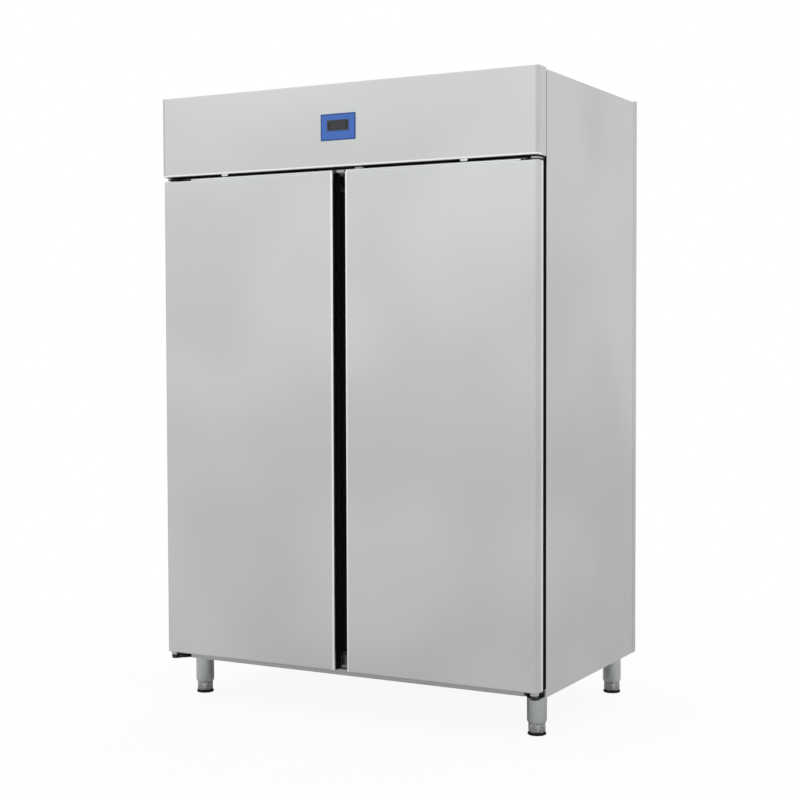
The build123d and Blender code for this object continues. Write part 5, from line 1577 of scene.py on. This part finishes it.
@dataclass
class CondensingUnit:
    """Compressor, finned condenser, tubes and drier on the tray of the machine bay."""

    tray_z: float = 1.803
    compressor: Point = (-0.140, 0.1015, 1.826)
    shell: Point = (0.220, 0.156, 0.176)
    shell_corner: float = 0.075
    least_corner: float = 0.004
    corner_steps: int = 12
    crown: Pair = (0.066, 0.060)
    bowl: Pair = (0.020, 0.024)
    bowl_rows: int = 12
    seam_rise: float = 0.097
    seam: float = 0.005
    seam_outline: Outline = ((1.0, 0.0), (-0.8, 0.0), (-1.0, 0.25), (-1.0, 0.75), (-0.8, 1.0), (1.0, 1.0))
    foot_plate: float = 0.003
    foot_corner: float = 0.018
    cover_size: Pair = (0.078, 0.053)
    cover_corner: float = 0.010
    cover_rise: float = 0.0615
    cover_outline: Outline = ((0.0, 0.090), (0.0, 0.126), (0.0009, 0.1292), (0.0032, 0.130))
    condenser_x: float = -0.140
    condenser_front: float = -0.2765
    condenser_back: float = -0.1925
    condenser_half: float = 0.190
    condenser_height: float = 0.200
    fin_pitch: float = 0.0031
    fin_sheet: float = 0.0003
    fin_inset: Point = (0.004, 0.003, 0.002)
    fin_back: float = 0.001
    end_plate: float = 0.002
    loop_radius: float = 0.0125
    loop_count: int = 6
    loop_inset: float = 0.022
    loop_tube: float = 0.0045
    loop_points: int = 13
    loop_segments: int = 10
    tube: float = 0.005
    tube_segments: int = 14
    bend: float = 0.025
    tube_rise: float = 2.052
    port_depth: float = 0.004
    port_share: float = 0.125
    liquid_inset: float = 0.021
    drier: Point = (0.120, -0.0725, 1.818)
    drier_half: float = 0.060
    drier_radius: float = 0.015
    drier_neck: Pair = (0.0055, 0.018)
    drier_segments: int = 32
    shroud_back: float = -0.1385
    shroud_hole: float = 0.092
    lip: float = 0.006
    lip_sheet: Pair = (0.001, -0.0006)
    lip_segments: int = 64
    fan_z: float = 1.903
    quarter_rows: int = 7

    def ring_rows(self, rows: Array, centre: Point) -> Array:
        """Outlines of the compressor at several insets and heights.

        Args:
            rows: Array of shape (n, 2) of inset and height.
            centre: Middle of the foot of the shell.

        Returns:
            Grid of shape (n, points, 3).
        """
        rings = []
        for inset, height in rows:
            corner = max(self.shell_corner - inset, self.least_corner)
            wide, deep = self.shell[0] - 2 * inset, self.shell[1] - 2 * inset
            outline = rounded_rectangle(wide, deep, corner, self.corner_steps)
            rings.append(np.column_stack([outline, np.full(len(outline), height)]) + centre)
        return np.stack(rings)

    def compressor_shell(self) -> None:
        """Two drawn bowls joined by a weld flange, on a foot plate, with a terminal cover.

        Crown and bowl are quarters of an ellipse: the crown's inset is A (1 - cos a) and its height
        the top less B (1 - sin a), and the bowl's are A (1 - sin a) and B (1 - cos a).
        """
        mesher = Mesher("compressor_domed")
        angle = np.linspace(0.0, np.pi / 2, self.bowl_rows)
        fall, rise = 1 - np.sin(angle), 1 - np.cos(angle)
        crown = np.column_stack([self.crown[0] * rise, self.shell[2] - self.crown[1] * fall])
        bowl = np.column_stack([self.bowl[0] * fall, self.bowl[1] * rise])
        mesher.grid(self.ring_rows(np.vstack([bowl, crown]), self.compressor), caps=True)
        flange = (0.0, self.seam_rise) + self.seam * np.array(self.seam_outline)
        mesher.grid(self.ring_rows(flange, self.compressor), caps=True)
        wide = self.shell[0] + 2 * self.seam
        deep = self.shell[1] + 2 * self.seam
        plate = np.array([(0.0, -self.foot_plate), (0.0, 0.0)])
        mesher.grid(stacked(wide, deep, self.foot_corner, plate, self.compressor, Axis.Z), caps=True)
        size = (*self.cover_size, self.cover_corner)
        middle = np.asarray(self.compressor) + (0.0, 0.0, self.cover_rise)
        mesher.grid(stacked(*size, self.cover_outline, middle, Axis.X), caps=True)
        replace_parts(mesher.build("cabinet", FINISHES["compressor_black"]), "compressor")

    def condenser(self) -> None:
        """Close fins between end plates, and hairpin bends z = z0 + R cos a, x = end + R sin a."""
        mesher = Mesher("condenser_fins")
        left = self.condenser_x - self.condenser_half
        right = self.condenser_x + self.condenser_half
        bottom, top = self.tray_z, self.tray_z + self.condenser_height
        inset_x, inset_y, inset_z = self.fin_inset
        x = np.arange(left + inset_x, right - inset_x, self.fin_pitch)
        ones = np.ones_like(x)
        front, back = self.condenser_front + inset_y, self.condenser_back - self.fin_back
        low = np.column_stack([x, front * ones, (bottom + inset_z) * ones])
        high = np.column_stack([x + self.fin_sheet, back * ones, (top - inset_z) * ones])
        mesher.plates(low, high)
        ends = np.array([left, right - self.end_plate])
        pair = np.ones_like(ends)
        low = np.column_stack([ends, self.condenser_front * pair, bottom * pair])
        high = np.column_stack([ends + self.end_plate, self.condenser_back * pair, top * pair])
        mesher.plates(low, high)
        piece = mesher.build("cabinet", FINISHES["coil_aluminium"], None)
        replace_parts(piece, "condenser_coil")
        pipes = Mesher("condenser_hairpins")
        angle = np.linspace(0.0, np.pi, self.loop_points)
        out, up = self.loop_radius * np.sin(angle), self.loop_radius * np.cos(angle)
        section = circle(self.loop_tube, self.loop_segments)
        pitch = self.condenser_height / self.loop_count
        for y in (self.condenser_front + self.loop_inset, self.condenser_back - self.loop_inset):
            for row in range(self.loop_count):
                z = bottom + pitch * (row + 0.5)
                for sign, end in ((-1, left), (1, right)):
                    arc = np.column_stack([end + sign * out, np.full(self.loop_points, y), z + up])
                    pipes.grid(carried(section, arc, (0, 1, 0)), caps=True)
        pipes.build("cabinet", FINISHES["copper_tube"])

    def lines(self) -> None:
        """Discharge, liquid and suction tubes with eased bends."""
        x, y, z = self.compressor
        crown = z + self.shell[2] - self.port_depth
        rise = self.tube_rise
        middle = (self.condenser_front + self.condenser_back) / 2
        port = self.shell[0] * self.port_share
        out_x, in_x = x - port, x + port
        exit_y = y + self.shell[1]
        top = self.tray_z + self.condenser_height
        right = self.condenser_x + self.condenser_half
        liquid_y = self.condenser_back - self.liquid_inset
        drier_x, drier_y, drier_z = self.drier
        drier_start = drier_y - self.drier_half
        discharge = [(out_x, y, crown), (out_x, y, rise), (out_x, middle, rise), (out_x, middle, top)]
        liquid = [(right, liquid_y, drier_z), (drier_x, liquid_y, drier_z), (drier_x, drier_start, drier_z)]
        suction = [(in_x, y, crown), (in_x, y, rise), (in_x, exit_y, rise), (in_x, exit_y, self.tray_z)]
        mesher = Mesher("refrigerant_tubes_bent")
        section = circle(self.tube, self.tube_segments)
        for corners, normal in ((discharge, (1, 0, 0)), (liquid, (0, 0, 1)), (suction, (1, 0, 0))):
            path = eased_path(np.array(corners), self.bend)
            mesher.grid(carried(section, path, normal), caps=True)
        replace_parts(mesher.build("cabinet", FINISHES["copper_tube"]), "refrigerant_tubes")

    def filter_drier(self) -> None:
        """Drier spun to a neck at both ends: r = N + (R - N) sin a, along = L (1 - cos a)."""
        angle = np.linspace(0.0, np.pi / 2, self.quarter_rows)
        neck, length = self.drier_neck
        radius = neck + (self.drier_radius - neck) * np.sin(angle)
        fall = np.column_stack([radius, -self.drier_half + length * (1 - np.cos(angle))])
        profile = np.vstack([fall, fall[::-1] * (1, -1)])
        drier = Mesher("filter_drier_spun")
        drier.grid(revolved(profile, self.drier, Axis.Y, self.drier_segments), caps=True)
        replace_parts(drier.build("cabinet", FINISHES["copper_tube"]), "filter_drier")

    def inlet_ring(self) -> None:
        """Rolled lip of the shroud: a quarter round turned about the fan axis."""
        angle = np.linspace(0.0, np.pi / 2, self.quarter_rows)
        lip = self.lip
        outer = np.column_stack([self.shroud_hole + lip * (1 - np.cos(angle)), lip * np.sin(angle)])
        profile = np.vstack([outer, outer[::-1] + self.lip_sheet])
        centre = (self.condenser_x, self.shroud_back, self.fan_z)
        mesher = Mesher("shroud_rolled_lip")
        mesher.grid(revolved(profile, centre, Axis.Y, self.lip_segments), loop_rows=True)
        mesher.build("cabinet", FINISHES["motor_grey"])

    def build(self) -> None:
        """Every piece of the unit."""
        self.compressor_shell()
        self.condenser()
        self.lines()
        self.filter_drier()
        self.inlet_ring()


@dataclass
class RearLouvres:
    """Louvre blades pressed inwards behind the slots of the rear grille."""

    offset_x: float = 0.270
    length: float = 0.430
    height: float = 0.009
    pitch: float = 0.024
    rows: int = 7
    middle_z: float = 1.936
    plate_y: float = 0.433
    reach: float = 0.009
    drop: float = 1.2
    end_power: int = 12
    sheet: float = 0.0008
    smooth: float = 60.0
    blade_grid: tuple[int, int] = (33, 7)

    def build(self) -> None:
        """Blade p(u, v): a quarter ellipse that falls inwards from the slot's upper edge.

        Its depth fades to the ends as (1 - |u|^12), with u from -1 to 1.
        """
        mesher = Mesher("rear_louvre_blades")
        u = np.linspace(-1.0, 1.0, self.blade_grid[0])[:, None]
        v = np.linspace(0.0, np.pi / 2, self.blade_grid[1])[None, :]
        fade = 1 - np.abs(u) ** self.end_power
        y = self.plate_y - self.reach * fade * np.sin(v)
        for sign in (-1, 1):
            x = np.broadcast_to(sign * self.offset_x + u * self.length / 2, self.blade_grid)
            for row in range(self.rows):
                edge = self.middle_z + (row - (self.rows - 1) / 2) * self.pitch + self.height / 2
                z = edge - self.height * self.drop * (1 - np.cos(v)) * fade
                mesher.grid(np.dstack([x, y, z]), loop=False)
        piece = mesher.build("cabinet", FINISHES["galvanised_sheet"], self.smooth, closed=False)
        thicken(piece, self.sheet, 0.0)


@dataclass
class Fasteners:
    """Screws on the hinge brackets, the rear grille, the inlet plate and the electrical box."""

    bracket_x: Pair = (0.648, 0.664)
    bracket_y: float = -0.3705
    bracket_z: Pair = (1.782, 0.152)
    bracket_head: Pair = (0.0045, 0.0022)
    rear_y: float = 0.434
    rear_z: Pair = (1.838, 2.034)
    rear_head: Pair = (0.0045, 0.0009)
    grille_x: tuple[float, ...] = (-0.600, -0.300, 0.0, 0.300, 0.488)
    inlet_x: Pair = (0.512, 0.600)
    lid_x: Pair = (0.340, 0.540)
    lid_y: Pair = (-0.2165, -0.0865)
    lid_z: float = 1.892
    lid_head: Pair = (0.0040, 0.0020)
    slot: str = "hinge_steel"

    def build(self) -> None:
        """One piece for each row of screws."""
        across = [sign * x for sign in (-1, 1) for x in self.bracket_x]
        brackets = [(x, self.bracket_y, z) for x in across for z in self.bracket_z]
        grille, inlet = (
            [(x, self.rear_y, z) for x in row for z in self.rear_z] for row in (self.grille_x, self.inlet_x)
        )
        lid = [(x, y, self.lid_z) for x in self.lid_x for y in self.lid_y]
        rows = (
            Screws("hinge_bracket_screws", "cabinet", Axis.Y, brackets, self.slot, *self.bracket_head, -1.0),
            Screws("rear_grille_screws", "cabinet", Axis.Y, grille, self.slot, *self.rear_head),
            Screws("inlet_plate_screws", "cabinet", Axis.Y, inlet, self.slot, *self.rear_head),
            Screws("electrical_lid_screws", "cabinet", Axis.Z, lid, self.slot, *self.lid_head),
        )
        for row in rows:
            row.build()


@dataclass
class Studio:
    """Floor, lamps, white surround and camera."""

    floor_half: float = 12.0
    floor_lines: int = 5
    floor_tone: float = 0.82
    floor_glow: float = 0.92
    floor_fade: Pair = (1.2, 2.8)
    ambient: float = 0.80
    rear_dim: float = 0.14
    rear_edge: Pair = (0.3, 1.0)
    camera: Point = (2.5671, -4.7499, 1.2529)
    yaw: float = 28.488
    pitch: float = -2.336
    roll: float = -0.17
    lens: float = 69.65
    sensor: float = 36.0
    sight: float = 100.0
    aim: Point = (0.0, 0.0, 1.1)
    lamps: tuple[tuple[str, Point, float, float], ...] = (
        ("key_softbox", (-3.5, -5.4, 5.8), 4.5, 36.0),
        ("right_softbox", (5.0, -2.0, 4.4), 3.0, 25.0),
        ("rear_softbox", (-1.5, 5.5, 4.4), 3.0, 60.0),
    )

    def floor(self) -> None:
        """Pale floor, seen almost white by the lens and through glass, that keeps the object's shadow."""
        run = np.linspace(-self.floor_half, self.floor_half, self.floor_lines)
        x, y = np.meshgrid(run, run)
        grid = np.dstack([x, y, np.zeros_like(x)])
        mesh = bpy.data.meshes.new("studio_floor")
        index = np.arange(x.size).reshape(x.shape)
        quads = np.stack([index[:-1, :-1], index[:-1, 1:], index[1:, 1:], index[1:, :-1]], axis=-1)
        mesh.from_pydata(grid.reshape(-1, 3), [], quads.reshape(-1, 4).tolist())
        floor = bpy.data.objects.new("studio_floor", mesh)
        bpy.context.scene.collection.objects.link(floor)
        paint = bpy.data.materials.new("studio_floor_paint")
        tree = ShaderTree(paint)
        lens = tree.path("Is Camera Ray") + tree.path("Is Transmission Ray")
        tone = tree.mix(lens, (self.floor_tone,) * 3, (1.0, 1.0, 1.0))
        matt = tree.node("ShaderNodeBsdfDiffuse", None, {"Color": tone})
        glow = tree.node("ShaderNodeEmission", None, {"Color": (1.0, 1.0, 1.0, 1.0), "Strength": 1.0})
        near, far = self.floor_fade
        reach = tree.node("ShaderNodeVectorMath", {"operation": "LENGTH"}, {0: tree.place()}, output="Value")
        white = reach.above((near + far) / 2, far - near)
        seen = lens * (self.floor_glow + (1.0 - self.floor_glow) * white)
        tree.finish(tree.node("ShaderNodeMixShader", None, {0: seen, 1: matt, 2: glow}))
        mesh.materials.append(paint)

    def surround(self) -> None:
        """White surround for the lens, gloss and glass, a plain level elsewhere, dimmer at the rear."""
        world = bpy.data.worlds.new("studio_surround")
        bpy.context.scene.world = world
        tree = ShaderTree(world)
        camera = tree.path("Is Camera Ray")
        seen = camera | tree.path("Is Glossy Ray") | tree.path("Is Transmission Ray")
        heading = tree.node("ShaderNodeTexCoord", output="Generated")
        rear = tree.node("ShaderNodeSeparateXYZ", None, {0: heading}, output="Y").above(*self.rear_edge)
        dim = 1.0 - self.rear_dim * rear * (1.0 - camera)
        level = (self.ambient + (1.0 - self.ambient) * seen) * dim
        sky = {"Color": (1.0, 1.0, 1.0, 1.0), "Strength": level}
        tree.finish(tree.node("ShaderNodeBackground", None, sky), "ShaderNodeOutputWorld")

    def light(self) -> None:
        """Square softboxes aimed at the middle of the freezer."""
        for name, place, size, power in self.lamps:
            lamp = bpy.data.lights.new(name, "AREA")
            lamp.shape = "SQUARE"
            lamp.size = size
            lamp.energy = power
            holder = bpy.data.objects.new(name, lamp)
            holder.location = place
            holder.rotation_euler = (Vector(self.aim) - Vector(place)).to_track_quat("-Z", "Y").to_euler()
            bpy.context.scene.collection.objects.link(holder)

    def shoot(self) -> None:
        """Camera from the fitted yaw, pitch and roll; its rows are right, up and back."""
        yaw, pitch, roll = (math.radians(angle) for angle in (self.yaw, self.pitch, self.roll))
        ahead = Vector((-math.sin(yaw) * math.cos(pitch), math.cos(yaw) * math.cos(pitch), math.sin(pitch)))
        right = Vector((math.cos(yaw), math.sin(yaw), 0.0))
        up = right.cross(ahead)
        across = math.cos(roll) * right + math.sin(roll) * up
        above = -math.sin(roll) * right + math.cos(roll) * up
        lens = bpy.data.cameras.new("photo_camera")
        lens.lens = self.lens
        lens.sensor_width = self.sensor
        lens.clip_end = self.sight
        holder = bpy.data.objects.new("photo_camera", lens)
        turned = Matrix((across, above, -ahead)).transposed().to_4x4()
        holder.matrix_world = Matrix.Translation(Vector(self.camera)) @ turned
        bpy.context.scene.collection.objects.link(holder)
        bpy.context.scene.camera = holder

    def build(self) -> None:
        """Whole studio."""
        self.floor()
        self.surround()
        self.light()
        self.shoot()
        bpy.context.scene.view_settings.view_transform = "Standard"


def dress_cad_nodes() -> None:
    """Gives every CAD node the finish of its slot."""
    slots = {row["node"]: row["material_slot"] for row in frame["record"]["subparts"]}
    for name, node in frame["nodes"].items():
        material = FINISHES[slots[name]].material()
        for holder in node.material_slots:
            holder.material = material


def main() -> None:
    """Dresses the nodes, builds every sub-assembly, then the studio."""
    logging.basicConfig(level=logging.INFO)
    dress_cad_nodes()
    LevellingLegs().build()
    DoorInsides("right", 1.0).build()
    DoorInsides("left", -1.0, cap_outer=0.585).build()
    FrontTrims().build()
    Shelving().build()
    Fans().build()
    CoolerGuards().build()
    CondensingUnit().build()
    RearLouvres().build()
    Fasteners().build()
    Studio().build()


if __name__ == "__main__":
    main()
